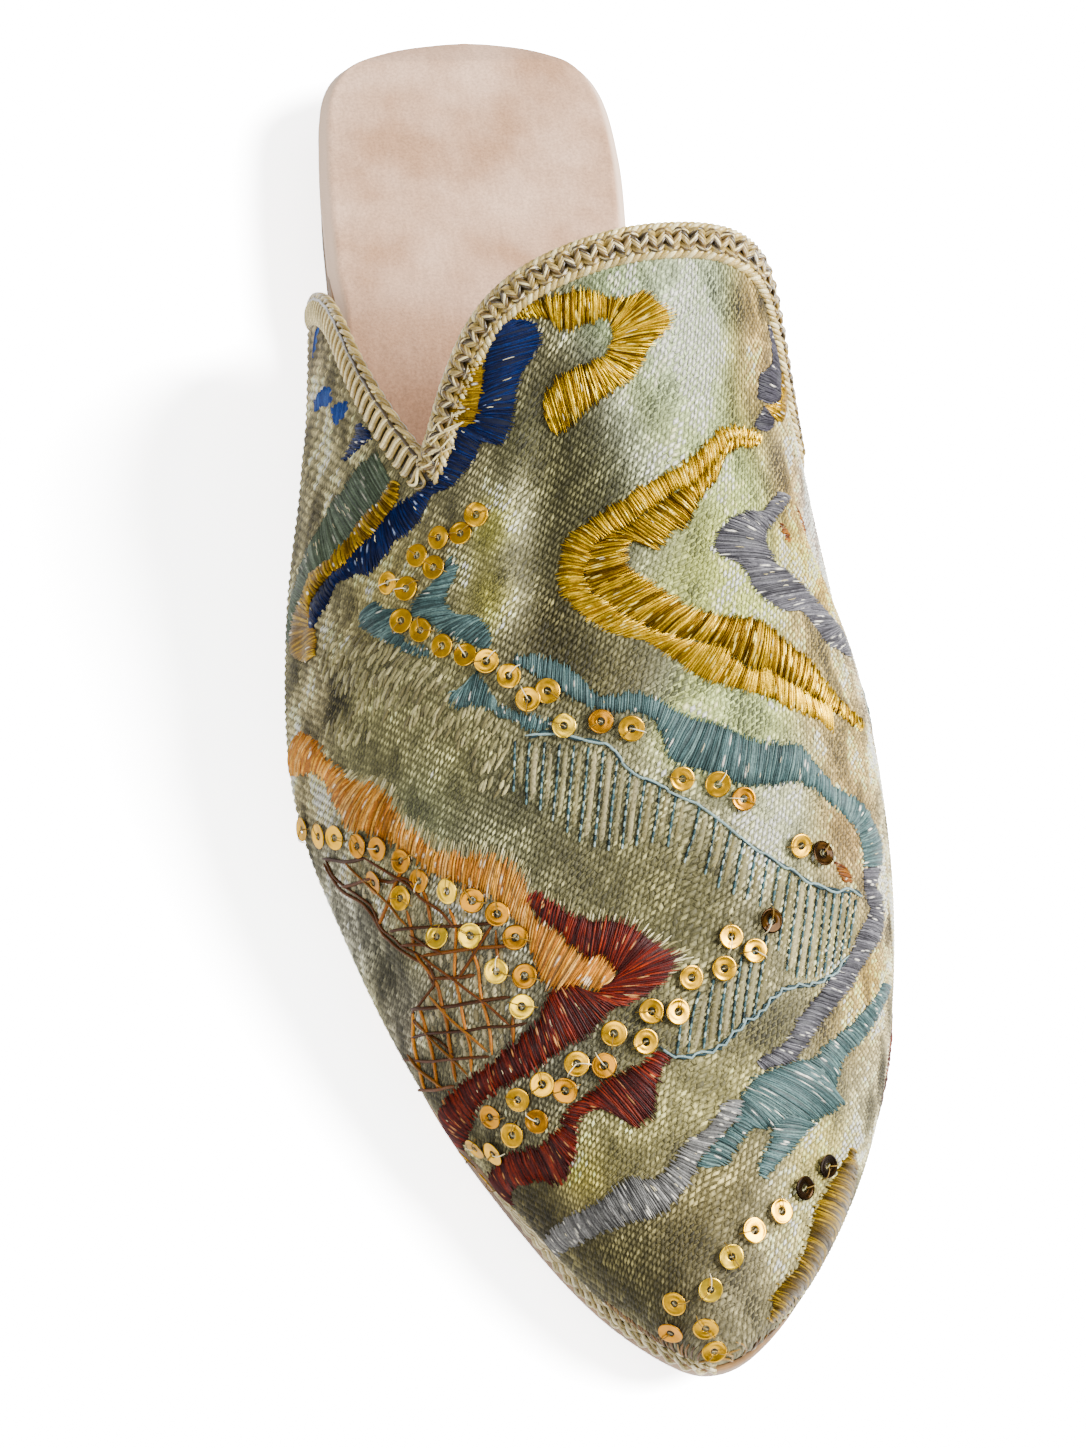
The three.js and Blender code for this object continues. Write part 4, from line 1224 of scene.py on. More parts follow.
MAROON_BANDS = [
    [[182.4, 34.3, 181.9, 34.6], [184.6, 34.8, 182.6, 35.7], [186.6, 36.2, 184, 37],
     [187.6, 37.3, 185.2, 38], [190, 38.1, 186.6, 39.4], [192, 39.8, 187.2, 40.8],
     [192.2, 41.2, 187.4, 42.6], [193.4, 42.4, 188.2, 44.2], [194.6, 42.8, 190, 46],
     [195.2, 42.8, 191.6, 47.2], [195.8, 42.4, 193.4, 48.7], [196.2, 41.8, 196, 48],
     [196.9, 40.8, 197.6, 46.4], [197.2, 40.2, 198.6, 44.8], [196.6, 39.2, 199.4, 42.4],
     [195.8, 38, 200.4, 40.8], [195.7, 36.6, 202.4, 38.6], [196, 35, 203, 36.3],
     [197.6, 33.7, 203.8, 34], [199.6, 32.5, 204.6, 32.4], [200.6, 30.4, 205.4, 30.4],
     [201.4, 28.8, 205.9, 28.5], [202.2, 26.4, 206.1, 26.6], [203, 24.6, 206.5, 24],
     [203.6, 21.4, 206.8, 20.8], [203.9, 18, 207.2, 17.8], [204.4, 14.6, 208.4, 14.6],
     [204.9, 11, 209.3, 11.6], [205.6, 6.4, 209.9, 9], [207.2, 2.4, 210.3, 6],
     [209.4, 1.2, 210.6, 3]],
    [[206.4, 45.8, 207.2, 46.7], [207.6, 45, 208.6, 46.3], [208.2, 43.8, 210.2, 45.5],
     [208.7, 42.4, 212.6, 44.7], [209.1, 40.9, 215.2, 44], [209.6, 39, 216.7, 42],
     [210.4, 37.4, 216.9, 40.8], [211.2, 35.8, 215.2, 39], [211.8, 34.2, 213.4, 37.2],
     [212.4, 32.6, 213.4, 34.8], [213.6, 31.2, 214.4, 32.6], [215.3, 29.2, 217.4, 30.4],
     [215.6, 27.4, 219.3, 28.4], [216.4, 25.4, 221.6, 24.9], [216.6, 22.4, 221.6, 21.6],
     [216.4, 19.9, 220.4, 18.6], [216, 16.2, 219.8, 14.6], [216.2, 12.6, 219.2, 9.8],
     [216.1, 7, 219.6, 7.2], [217.4, 3.6, 220.6, 5]],
]
OLIVE = ["#8a7404", "#725e02", "#a68e06", "#5c4c02"]
OLIVE_PATCH = [
    [221, 78, 221.2, 80.4], [223, 76.4, 223, 82.8], [225, 75.2, 225.2, 85.6],
    [227, 74, 227.2, 87.6], [229.4, 71.9, 229.8, 88.4], [231.6, 71.7, 232.4, 88.6],
    [234, 71.8, 235, 88.6], [237, 72.6, 237.8, 88.4], [239.2, 72.6, 240, 88],
    [241.2, 69, 241.6, 87.4], [242.6, 67.4, 243.2, 86], [244.4, 71.6, 244.8, 84],
    [245.8, 76, 246, 80],
]
# The side that the photograph doesn't show carries on in the same style.
HIDDEN_SIDE = [
    ("gold_inner", GOLD, [[158.4, 86.4, 159.8, 85.8], [160.6, 88.6, 163, 87],
                          [164, 90.6, 167.4, 88.6], [169, 92.4, 172.4, 90],
                          [174.6, 93.6, 177.6, 91.4], [180.6, 94, 182.4, 93]]),
    ("teal_inner", TEAL, [[134, 83, 135.4, 82.2], [138, 84.6, 141.2, 82.6],
                          [143.6, 84.6, 147.2, 82.6], [150.4, 86.6, 153.4, 84.6],
                          [157.4, 88.4, 159.4, 87]]),
    ("navy_inner", NAVY, [[110, 84.6, 112, 81.2], [116, 85.4, 119.4, 80.6],
                          [122, 87.4, 126, 83], [128, 89.6, 131.6, 86.4],
                          [135.4, 91.4, 137.4, 90]]),
    ("maroon_inner", MAROON, [[196, 92.6, 198.4, 91.4], [201, 93.6, 204.4, 90.4],
                              [207.6, 95, 210.4, 92.2], [213.4, 95.6, 214.8, 94.2]]),
]


def make_bands():
    # gold threads get more painted glints, spots of the light colour
    gold = {"material_": GOLD_SILK, "light": "#f8e488", "lights": 0.12, "spread": 0.26}
    satin("slate_patch", SLATE_PATCH, SLATE, rise=0.25, lights=0.06, light="#c9c8ba")
    satin("navy_band", NAVY_BAND, NAVY, lights=0.03, light="#b8c4dc", rise=0.5)
    satin("navy_spike", NAVY_SPIKE, NAVY, rise=0.3, lights=0.02)
    satin("ochre_patch", OCHRE_PATCH, OCHRE, pitch=0.4, wide=0.42, base=0.5, rise=0.4,
          ragged=1.0, material_=GOLD_SILK)
    satin("ochre_band", OCHRE_BAND, OCHRE, pitch=0.42, wide=0.45, rise=0.5, base=0.35, ragged=0.5,
          material_=GOLD_SILK)
    for i, keys in enumerate(BLUE_PATCHES):
        satin(f"blue_patch_{i}", keys, BLUE, rise=0.15, ragged=0.3, lights=0)
    satin("gold_hook", GOLD_HOOK, GOLD, **gold)
    satin("boomerang_outer", BOOMERANG_OUTER, GOLD[:3] + ["#c6a810", "#d4b828"], rise=0.4, **gold)
    satin("boomerang_inner", BOOMERANG_INNER, GOLD[:4], rise=0.45, base=0.2, **gold)
    satin("lilac_upper", LILAC_UPPER, LILAC, lights=0.08)
    for i, keys in enumerate(CHARCOAL_PATCHES):
        satin(f"charcoal_patch_{i}", keys, CHARCOAL, rise=0.2, ragged=0.3)
    satin("gold_bit", GOLD_BIT, OCHRE, rise=0.25, ragged=0.3, material_=GOLD_SILK)
    for i, keys in enumerate(RUST_BITS):
        satin(f"rust_bit_{i}", keys, ["#8a5c12", "#9a6e1a", "#74480c"], rise=0.25, ragged=0.3)
    for i, keys in enumerate(TEAL_PATCHES):
        satin(f"teal_patch_{i}", keys, TEAL, rise=0.4)
    satin("lilac_lower", LILAC_LOWER, LILAC, rise=0.45, lights=0.08)
    for i, keys in enumerate(TEAL_LOWER):
        satin(f"teal_lower_{i}", keys, TEAL, rise=0.4, lights=0.05, base=0.15 + 0.1 * i)
    satin("grey_lower", GREY_LOWER, SILVER, pitch=0.34, wide=0.36, lights=0.08, base=0.25)
    satin("apricot_band", APRICOT_BAND, APRICOT, pitch=0.33, wide=0.33, rise=0.5, ragged=1.1,
          light="#f0dcc0", lights=0.06, spread=0.2)
    for i, keys in enumerate(MAROON_BANDS):
        satin(f"maroon_band_{i}", keys, MAROON, rise=0.5, ragged=0.9, light="#c89a68", lights=0.06,
              base=0.3)
    satin("olive_patch", OLIVE_PATCH, OLIVE, pitch=0.36, wide=0.34, rise=0.35, ragged=1.3,
          light="#cfb04a", lights=0.05, material_=GOLD_SILK)
    for name, colours, keys in HIDDEN_SIDE:
        satin(name, keys, colours, rise=0.45)
    # a straw-coloured fringe where bands meet the velvet: painted highlight on the velvet's edge
    # there
    for name, keys, reach, share in (("highlight_fringe_apricot", APRICOT_BAND[5:22], 1.7, 1.0),
                                     ("highlight_fringe_maroon", MAROON_BANDS[0][1:12], 1.1, 0.7)):
        k = np.array(keys)
        size = np.hypot(k[:, 2] - k[:, 0], (k[:, 3] - k[:, 1]) * arc(k[:, 0]))[:, None]
        way = (k[:, 2:] - k[:, :2]) / size
        highlight_fringe = np.concatenate([k[:, 2:] - way * 0.6, k[:, 2:] + way * reach], 1)
        satin(name, highlight_fringe, ["#cfc9a8", "#bdb690", "#aaa27a", "#989068"], pitch=0.42, wide=0.3,
              rise=0.25, ragged=1.0, base=0.05, gap=share, lights=0, material_=COTTON, bed=False)


def inside(station, girth, outline):
    """Which places lie within an outline."""
    a, b = outline, np.roll(outline, -1, 0)
    hit = np.zeros(station.shape, bool)
    for (s0, g0), (s1, g1) in zip(a, b):
        spans = (s0 > station) != (s1 > station)
        cross = g0 + (station - s0) / (s1 - s0 + 1e-12) * (g1 - g0)
        hit ^= spans & (girth < cross)
    return hit


WAVES = rng.normal(0, 1, (3, 26))


def mottle(x, y, size):
    """Soft random light and dark between about -1 and 1, with patches of that size in mm."""
    total = 0
    for a, b, turn in WAVES.T:
        total = total + np.sin((a * x + b * y) * 1.9 / size + turn * 9)
    return total / 5.1


NAP_SLANT = 0.58


def nap_places():
    """Where the tufts stand, in slanting rows: millimetres round the foot, station, girth."""
    slant, between_rows, apart = NAP_SLANT, 0.98, 0.74
    middle, reach = 150, 260
    i, j = np.meshgrid(np.arange(-reach, reach), np.arange(-reach, reach), indexing="ij")
    i, j = i.ravel(), j.ravel()
    along_row = (j + 0.5 * (i % 2)) * apart + rng.uniform(-0.13, 0.13, i.shape)
    up = i * between_rows + rng.uniform(-0.1, 0.1, i.shape)
    x = along_row * math.cos(slant) - up * math.sin(slant)
    y = along_row * math.sin(slant) + up * math.cos(slant) + middle
    keep = (y > 56) & (y < 248.6)
    x, y = x[keep], y[keep]
    girth = 50 + x / arc(y)
    cut_s, cut_g = cut_line(600, 3.0)
    keep = (girth > 0.7) & (girth < 99.3) & (y > np.interp(girth, cut_g, cut_s))
    x, y, girth = x[keep], y[keep], girth[keep]
    keep = np.ones(x.shape, bool)
    for outline in COVERED:
        keep &= ~inside(y, girth, outline)
    return x[keep], y[keep], girth[keep]


def make_nap():
    """The velvet's pile: rows of little raised tufts that run slantwise round the foot."""
    x, y, girth = nap_places()
    lean = NAP_SLANT + rng.normal(0, 0.16, x.shape)
    size = rng.uniform(0.85, 1.15, x.shape)
    dx, dy = -np.sin(lean) * size, np.cos(lean) * size
    long_, wide, tall = 0.62, 0.3, 0.4
    corners = [(-long_ * dx, -long_ * dy, 0.0), (wide * dy, -wide * dx, 0.05),
               (long_ * dx, long_ * dy, 0.06), (-wide * dy, wide * dx, 0.05),
               (0 * x, 0 * y, tall)]
    points = []
    for ax, ay, high in corners:
        s = np.minimum(y + ay, 249.2)
        points.append(skin(s, 50 + (x + ax) / arc(s), high)[0])
    count = len(x)
    faces = copies(np.array([[0, 1, 4], [1, 2, 4], [2, 3, 4], [3, 0, 4]]), count, 5)
    piece = build("upper_nap", np.stack(points, 1), faces, NAP)
    dye = pile_colour_with_light(y, girth) * rng.uniform(0.55, 1.55, (count, 1))
    # crushed-pile tone with painted shade in the furrows between clumps of tufts, stronger where
    # the pile is bright
    crush = 0.55 * mottle(x, y, 5.5) + 0.45 * mottle(x + 40, y * 0.7, 2.2)
    bright = np.clip(dye.mean(-1) / 0.35, 0, 1)
    dye *= np.exp((0.7 + 1.3 * bright) * np.clip(crush, -1.6, 0.8))[:, None]
    # painted highlights on some tufts
    dye[rng.uniform(0, 1, count) < 0.12] *= 1.8
    dye = np.repeat(np.clip(dye * 1.15, 0, [0.72, 0.71, 0.6])[:, None], 5, 1)
    # painted shade at each tuft's foot, deeper where the pile is bright
    dye[:, :4] *= (0.5 - 0.22 * bright)[:, None, None]
    paint(piece, "dye", dye)


# Ring sequins: station, girth and tint (0 gold, 1 amber, 2 bright for a painted reflection, 3 dark
# for painted shade).
SEQUINS = [
    [127.5, 32, 0], [129.4, 30.5, 0], [128.8, 28.3, 0], [130.1, 26.1, 0], [132.9, 27.9, 0],
    [132.1, 22.9, 0], [134.3, 25, 0], [138.7, 24.4, 0], [141.3, 26.5, 0], [144.7, 28.7, 0],
    [147.1, 31, 0], [148.9, 33.1, 0], [151.8, 35.2, 0], [154.9, 38.6, 0], [155.5, 36.8, 0],
    [160, 39.9, 2], [160.2, 43.2, 1], [161.7, 45.8, 0], [169.2, 49.6, 0], [170.3, 52, 0],
    [172.5, 54.3, 1], [179, 60.8, 0], [191.4, 53, 0], [193.5, 55.5, 0], [195.7, 52.3, 0],
    [196.6, 49.7, 0], [200.7, 45.8, 0], [201.2, 48.4, 0], [203.1, 41.3, 0], [204.9, 44.7, 0],
    [206.4, 35.8, 0], [207.4, 39.2, 1], [208.1, 30, 0], [209.8, 32.9, 1], [209.1, 25.2, 0],
    [212.9, 26.3, 1], [209.8, 18.6, 1], [213.4, 20.3, 0], [212.2, 10, 0], [214.3, 13.4, 0],
    [212, 3.5, 0], [215.9, 3, 0], [160.8, 8.7, 0], [163, 11.7, 0], [157.2, 5.3, 0],
    [168.3, 17.8, 1], [171.6, 20.5, 1], [172.4, 15.7, 1], [176.5, 19, 0], [175.4, 22.2, 1],
    [178.3, 25.4, 2], [180.7, 28.1, 1], [183.5, 30.7, 1], [183.8, 22.5, 2], [185.3, 26.9, 2],
    [187.3, 32.2, 1], [191.1, 29, 2], [192.8, 32.3, 1], [196.8, 31, 2], [231.4, 61.5, 0],
    [234, 56, 0], [237.4, 51.5, 2], [241.4, 46.9, 2], [242.3, 34.5, 0], [246, 42.5, 0],
    [245.4, 24, 1], [248.6, 44, 0], [166.3, 15, 1],
]
# sequins painted dark: painted shade
DARK_SEQUINS = [[179.8, 63.9, 3], [189.4, 57.3, 3], [224.5, 70.7, 3], [228, 66, 3]]


# A sequin's own section: radius and height.
SEQUIN_RING = [(0.6, -0.02), (0.6, 0.1), (0.72, 0.16), (1.2, 0.1), (1.65, 0.16), (1.88, 0.2),
               (1.92, 0.1), (1.65, 0.03), (1.2, -0.04), (0.72, -0.04)]
SEQUIN_TINTS = ("#cc9c0a", "#a06e06", "#ecc42a", "#241604")
SEQUIN_LIFT = 0.85
SEQUIN_SIDES = 28


def make_sequins():
    table = np.array(SEQUINS + DARK_SEQUINS)
    count, sides = len(table), SEQUIN_SIDES
    centre, out = skin(table[:, 0], table[:, 1], SEQUIN_LIFT)
    out = unit(out + rng.normal(0, 0.09, (count, 3)))
    ahead = unit(np.cross(out, np.array([0.0, 0.0, 1.0])) + 1e-6)
    side = np.cross(out, ahead)
    turn = 2 * np.pi * np.arange(sides) / sides
    size = rng.uniform(0.95, 1.04, count)
    rings = []
    for radius, high in SEQUIN_RING:
        spoke = ahead[:, None] * np.cos(turn)[:, None] + side[:, None] * np.sin(turn)[:, None]
        warp = 0.07 * np.cos(2 * turn[None] + rng.uniform(0, 6, (count, 1))) * radius / 2.3
        rings.append(centre[:, None] + spoke * radius * size[:, None, None]
                     + out[:, None] * (high + warp)[..., None])
    rings.append(rings[0])
    ring = np.stack(rings, 1)
    faces = copies(lattice(len(rings), sides, close=True), count, len(rings) * sides)
    piece = build("ring_sequins", ring, faces[:, ::-1], SEQUIN)
    palette = np.array([deep(c, 1.1, 1.0) for c in SEQUIN_TINTS])
    dye = palette[table[:, 2].astype(int)] * rng.uniform(0.88, 1.12, (count, 1))
    paint(piece, "dye", np.repeat(dye, len(rings) * sides, 0))
    tie_sequins(centre, out, ahead, side, size)


def tie_sequins(centre, out, ahead, side, size):
    """The threads that tie each sequin down, and the knot in its hole."""
    paths, outs, tints = [], [], []
    for i in range(len(centre)):
        start = rng.uniform(0, 2 * math.pi)
        for k in range(int(rng.integers(1, 3))):
            a = start + k * rng.uniform(1.8, 3.4)
            way = ahead[i] * math.cos(a) + side[i] * math.sin(a)
            v = np.linspace(0, 1, 9)
            r = 0.05 + 2.3 * v
            arch = 0.5 * np.sin(np.pi * np.clip(v, 0, 1)) ** 0.5
            h = 0.1 + arch - 0.75 * np.clip(v - 0.8, 0, 1) * 4
            paths.append(centre[i] + way * r[:, None] * size[i] + out[i] * h[:, None])
            outs.append(np.broadcast_to(out[i], (9, 3)))
            tints.append(np.array(linear("#6b5218" if rng.uniform() < 0.75 else "#cdbf98")[:3]))
        v = np.linspace(0, 1, 7)
        lump = 0.32 * ahead[i] * (v - 0.5)[:, None] * 2
        paths.append(centre[i] + lump + out[i] * 0.12)
        outs.append(np.broadcast_to(out[i], (7, 3)))
        tints.append(np.array(linear("#8d8566")[:3]))
    n = len(paths)
    strand_piece("sequin_ties", paths, outs, [0.17] * n, [0.15] * n, tints, SILK, 5)


NET_EDGE = [[163.8, 7.9], [167, 8.5], [169.5, 9.7], [172.2, 11.8], [174, 13], [175.8, 13.8],
            [179, 14.3], [181, 15.8], [182.7, 16.9], [184.6, 18.6], [186.3, 19.8],
            [189.4, 20], [190.4, 18.6], [191.5, 15.8], [191.6, 13.9], [193, 13.2],
            [195.5, 15.2], [198, 17], [200, 18]]
NET_ACROSS = [
    [[163.8, 7.9], [167, 12], [168.4, 15.3]],
    [[169.6, 9.7], [170.6, 12], [171.6, 15.3], [173.6, 18], [174, 20], [176.5, 22]],
    [[180, 15.7], [180.8, 18.3], [182.2, 22], [183.6, 26.1], [184.6, 30]],
    [[185.4, 19.4], [186.5, 23.8], [187.1, 26.6], [187.9, 29.9], [188.2, 32.1]],
    [[189, 20], [190.3, 23.8], [190.7, 26]],
    [[191.2, 14], [193.3, 20], [194, 23.3], [194.5, 26.3], [195.1, 29.8]],
    [[194.6, 11.2], [195.6, 15.5], [196.6, 18.6], [197.6, 22.1], [198.1, 25.2], [199, 28.6],
     [199.2, 31]],
    [[195.9, 6.4], [198.6, 12], [200, 16.4], [201.3, 21], [202.1, 24]],
    [[200.4, 5], [202.4, 10.1], [203.7, 15.2]],
    [[182.7, 17], [184.3, 20.6], [186.3, 22.4]],
]
NET_DOWN = [
    [[178.5, 19.2], [181.5, 19], [184.3, 18.6]],
    [[176.5, 22], [178.9, 22.3], [182, 22]],
    [[180.6, 24.9], [183.5, 25.2], [186.6, 24.2], [189.8, 23.2], [193, 22.7], [197, 22],
     [200.2, 21.3], [203, 19.7]],
    [[187.3, 26.5], [190.2, 26.6], [193.2, 26], [196, 25.8], [199, 25.4], [202, 24.4]],
    [[184.6, 18.6], [189.4, 20], [193, 19.7], [196, 19.1], [199, 17.9], [203.3, 15.7]],
    [[191.4, 16], [193.9, 15.3], [198.2, 14.2], [200.7, 12.4], [202.6, 11]],
    [[197.7, 29.4], [201.3, 28.2]],
    [[185.6, 30], [188.3, 29.6], [190.4, 29.4]],
    [[191.5, 13.9], [195, 11.4], [198.6, 9.2], [201.6, 7.4]],
    [[171.6, 20.5], [173.6, 19.2], [176.4, 16.4], [178.2, 13.9]],
]
NET_SLANT = [
    [[167, 12], [171.6, 14.2], [174.6, 16], [177.4, 17.3], [180.6, 18.7]],
    [[168.4, 15.3], [174.6, 20], [178, 21.9], [180.9, 24], [183.5, 25]],
    [[182, 18.7], [184.3, 20.6], [186.3, 22.4]],
    [[185.4, 19.4], [188.6, 21.6], [190.9, 23.3], [194.2, 25.7], [196.4, 27.2], [198.8, 28.6]],
    [[191, 18.6], [194.6, 19.9], [197.9, 22], [201.4, 24]],
    [[192.9, 13.9], [196.1, 15.4], [200, 17.4], [203.3, 19]],
    [[196, 8.5], [199.4, 10], [203, 12.5]],
    [[184.6, 30], [188, 26.6], [190.3, 23.8]],
]


def make_net():
    lumps = []
    for s in np.arange(168.5, 204, 2.3):
        low = np.interp(s, *np.array(NET_EDGE).T) - 0.2
        high = np.interp(s, [168, 174, 181, 188, 195, 198, 204], [16, 20, 28, 31, 31, 30.5, 22])
        for g in np.arange(low + 0.6, high, 1.35):
            a = s + rng.uniform(-0.4, 0.4)
            lumps.append([[a - 0.9, g + 0.25], [a, g], [a + 0.9, g - 0.2]])
    thread_lines("net_cushions", lumps, ["#a39a78", "#b5ac8c", "#8a8160"], 1.25, COTTON, lift=-0.1,
                 step=0.6, sides=8, spread=0.1)
    thread_lines("net_edge", [NET_EDGE, [[s + 0.5, g - 0.5] for s, g in NET_EDGE[:12]]],
                 ["#5c3c10", "#6c4812"], 0.55, lift=0.4, sway=0.12)
    thread_lines("net_across", NET_ACROSS, ["#6a4410", "#7c5418", "#58380c"], 0.55, lift=0.62,
                 sway=0.1)
    thread_lines("net_down", NET_DOWN, ["#a8761c", "#946614", "#b8862a"], 0.58, lift=0.42, sway=0.1)
    thread_lines("net_slant", NET_SLANT, ["#6a4410", "#85601c"], 0.5, lift=0.78, sway=0.1)


HATCH_TOP = [[160.5, 36.4], [160.5, 38.7], [162, 41], [163, 43.1], [164.2, 44.2],
             [166.1, 44.9], [167.7, 45.8], [168.9, 47], [169.9, 48.2], [171.1, 48.9],
             [172.3, 50.1],
             [173.8, 51.1], [175.2, 52.1], [176.4, 53], [177.7, 54], [179.2, 55.3],
             [180.3, 56.8], [181.7, 58.6], [182.5, 60.1], [183.8, 61.9], [184.5, 64.1],
             [184.8, 66.8], [184.3, 69.6], [184.7, 71.8]]
HATCH_LOW = [[206, 46.3], [207.2, 47.2], [207.8, 48.5], [207.5, 49.8], [207.1, 51.2],
             [206.2, 52.2], [204.5, 53.7], [203.2, 54.9], [202.5, 56.2], [201.1, 57.2],
             [199.7, 58.5], [198.9, 59.7], [198.4, 61.8], [198.3, 63.3], [197.5, 65.2],
             [196.4, 67], [193.6, 69.6]]
# Rows of running stitch: station and girth of the top, then of the bottom.
HATCH_ROWS = [
    [160.6, 35.2, 167.4, 34.5], [161.2, 36.6, 169.6, 35.6], [161.6, 38, 170.8, 36.9],
    [162.2, 39.4, 172.6, 38], [162.8, 40.7, 174.6, 39.3], [163.4, 42, 176.2, 40.4],
    [164.2, 43.3, 177.2, 41.8], [165.6, 44.5, 178, 43.1], [167.4, 45.6, 178, 44.4],
    [168.8, 46.8, 177.8, 45.7], [170, 48, 177.6, 47.1], [171.4, 49.2, 178.4, 48.4],
    [173.2, 50.6, 180.8, 49.6], [174.8, 51.9, 182.6, 50.9], [176.6, 53.2, 184.6, 52],
    [178.2, 54.4, 185.6, 53.4], [179.6, 55.7, 186.4, 54.7], [180.8, 57, 187.4, 56.1],
    [181.8, 58.3, 190, 57.2], [182.8, 59.7, 193.6, 58.4], [183.6, 61, 196.4, 59.6],
    [184.2, 62.3, 197.4, 61], [184.8, 63.7, 197.6, 62.4], [185, 65, 197.2, 63.9],
    [185, 66.4, 196.6, 65.3], [184.8, 67.8, 195.8, 66.6], [184.8, 69.2, 194.6, 68],
    [185.4, 70.6, 192.6, 69.4], [195.8, 52.8, 206, 51.6], [194, 54.2, 205, 53],
    [192.6, 55.6, 203.6, 54.3], [191.4, 57, 202.4, 55.6], [197, 51.4, 206.8, 50.2],
    [198.6, 50.2, 207.2, 49], [201.4, 48.8, 207.2, 47.9],
]


def make_hatch():
    dark, light, ribs = [], [], []
    for s0, g0, s1, g1 in HATCH_ROWS:
        n = max(int((s1 - s0) / 1.5), 3)
        line = along([[s0, g0], [(s0 + s1) / 2, (g0 + g1) / 2 + rng.uniform(-0.1, 0.1)], [s1, g1]],
                     n * 2 + 1)
        for i in range(n):
            a, m, b = line[2 * i], line[2 * i + 1], line[min(2 * i + 2, 2 * n)]
            dark.append([a, (a + m) / 2, m + (b - m) * 0.35])
            light.append([m + (b - m) * 0.1, (m + b) / 2, b])
        shift = np.array([0, 0.62])
        ribs.append([line[0] + shift, line[n // 2 + 1] + shift, line[n] + shift,
                     line[int(1.5 * n)] + shift, line[-1] + shift])
    thread_lines("hatch_dark", dark, ["#3d5659", "#33484c", "#4b6568"], 0.62, lift=0.2, sides=5)
    thread_lines("hatch_light", light, ["#8ea3a2", "#738c8d", "#a9b8b4"], 0.5, lift=0.34, sides=5)
    thread_lines("hatch_ribs", ribs, ["#938d6c", "#87805e", "#a09878"], 1.2, NAP, lift=-0.3,
                 sides=6, step=1.2)
    chain = []
    for line in (HATCH_TOP, HATCH_LOW):
        p = along(line, 90)
        for side in (-0.28, 0.28):
            wave = side * np.cos(np.arange(90) * 0.9)
            chain.append(np.stack([p[:, 0] + wave, p[:, 1] + wave * 0.7], -1))
    thread_lines("hatch_chain", chain, ["#3b5054", "#8fa09e", "#2f4347"], 0.42, lift=0.35)


# Where the raised seed stitches lie: rows [station, girth, station, girth, how many].
SEED_ROWS = [
    [134.5, 14, 141.5, 22.4, 8], [137, 13.6, 143.6, 23.6, 9], [139.6, 13.4, 145.4, 25, 10],
    [142.2, 15, 147.2, 27.4, 10], [144.6, 16.4, 148.6, 29, 11], [146.8, 18.2, 150.6, 29, 9],
    [149.2, 20.4, 153.8, 30, 8], [152.2, 24, 156.6, 32.6, 8], [155.4, 26.6, 158.8, 34.4, 7],
    [158.6, 29.2, 161.6, 35, 5], [161.6, 30.8, 164.6, 34.6, 4], [150.8, 14.6, 152.2, 20, 4],
    [165, 31, 167.6, 34, 3], [147.6, 13.6, 149.6, 17.6, 3],
]


def make_seeds():
    lines = []
    for s0, g0, s1, g1, n in SEED_ROWS:
        for i in range(2 * n):
            f = (i + 0.5 + rng.uniform(-0.3, 0.3)) / n / 2
            s = s0 + (s1 - s0) * f + rng.uniform(-1.2, 1.2)
            g = g0 + (g1 - g0) * f
            half = rng.uniform(0.6, 0.95)
            lean = rng.uniform(0.2, 0.6)
            lines.append([[s - half, g + lean], [s, g], [s + half, g - lean]])
    thread_lines("seed_stitches", lines, ["#8c865f", "#99926b", "#78714b", "#b0a982"], 0.62,
                 COTTON, lift=0.18, step=0.55, sides=8, spread=0.12)


def make_strays():
    """Short pale threads that lie loose on the bands."""
    lines = []
    for keys, share in ((NAVY_BAND, 12), (SLATE_PATCH, 14), (BOOMERANG_INNER, 16),
                        (GOLD_HOOK, 8), (MAROON_BANDS[0], 16), (LILAC_UPPER, 10),
                        (TEAL_PATCHES[3], 12), (GREY_LOWER, 8)):
        k = np.array(keys)
        for _ in range(share):
            q = rng.uniform(0.5, len(k) - 1.5)
            i, f = int(q), q - int(q)
            key = k[i] * (1 - f) + k[i + 1] * f
            v = rng.uniform(0.15, 0.6)
            a = key[:2] + (key[2:] - key[:2]) * v
            b = key[:2] + (key[2:] - key[:2]) * (v + rng.uniform(0.1, 0.22))
            lines.append([a, (a + b) / 2 + rng.uniform(-0.1, 0.1, 2), b])
    thread_lines("stray_threads", lines, ["#d8cfae", "#bfb48c", "#e2dabc"], 0.13, lift=0.8, sides=4,
                 step=1.0)


def make_edge_stitches():
    """Brown overcast stitches round the toe's edge, and a short row on the outer side."""
    lines = []
    for s0, s1, inner, apart in ((238.5, 249.6, 0, 0.62), (228.0, 249.6, 1, 0.8),
                                 (177.0, 187.0, 0, 1.3)):
        count = int((s1 - s0) / apart * (1.8 if s0 > 200 else 1))
        for s in np.linspace(s0, s1, count) + rng.uniform(-0.2, 0.2, count):
            low = 1.0 / arc(s)
            girths = np.array([low, low * 2.2, low * rng.uniform(2.8, 3.8)])
            slant = np.array([0.5, 0.0, -0.5])
            girths = 100 - girths if inner else girths
            lines.append(np.stack([np.minimum(s + slant, 249.7), girths], -1))
    thread_lines("edge_stitches", lines, ["#6c5220", "#86682e", "#9a8048"], 0.38, lift=0.2,
                 sides=5, step=0.5)


# ---------------------------------------------------------------- toe rand
# pale cream cords: painted sheen of the velvet's lasted edge
RAND_SHEEN = [deep(c) for c in ("#cfc49e", "#b8ab82", "#dfd6b8", "#a8996c")]
RAND_START = 214
RAND_CORDS = 13


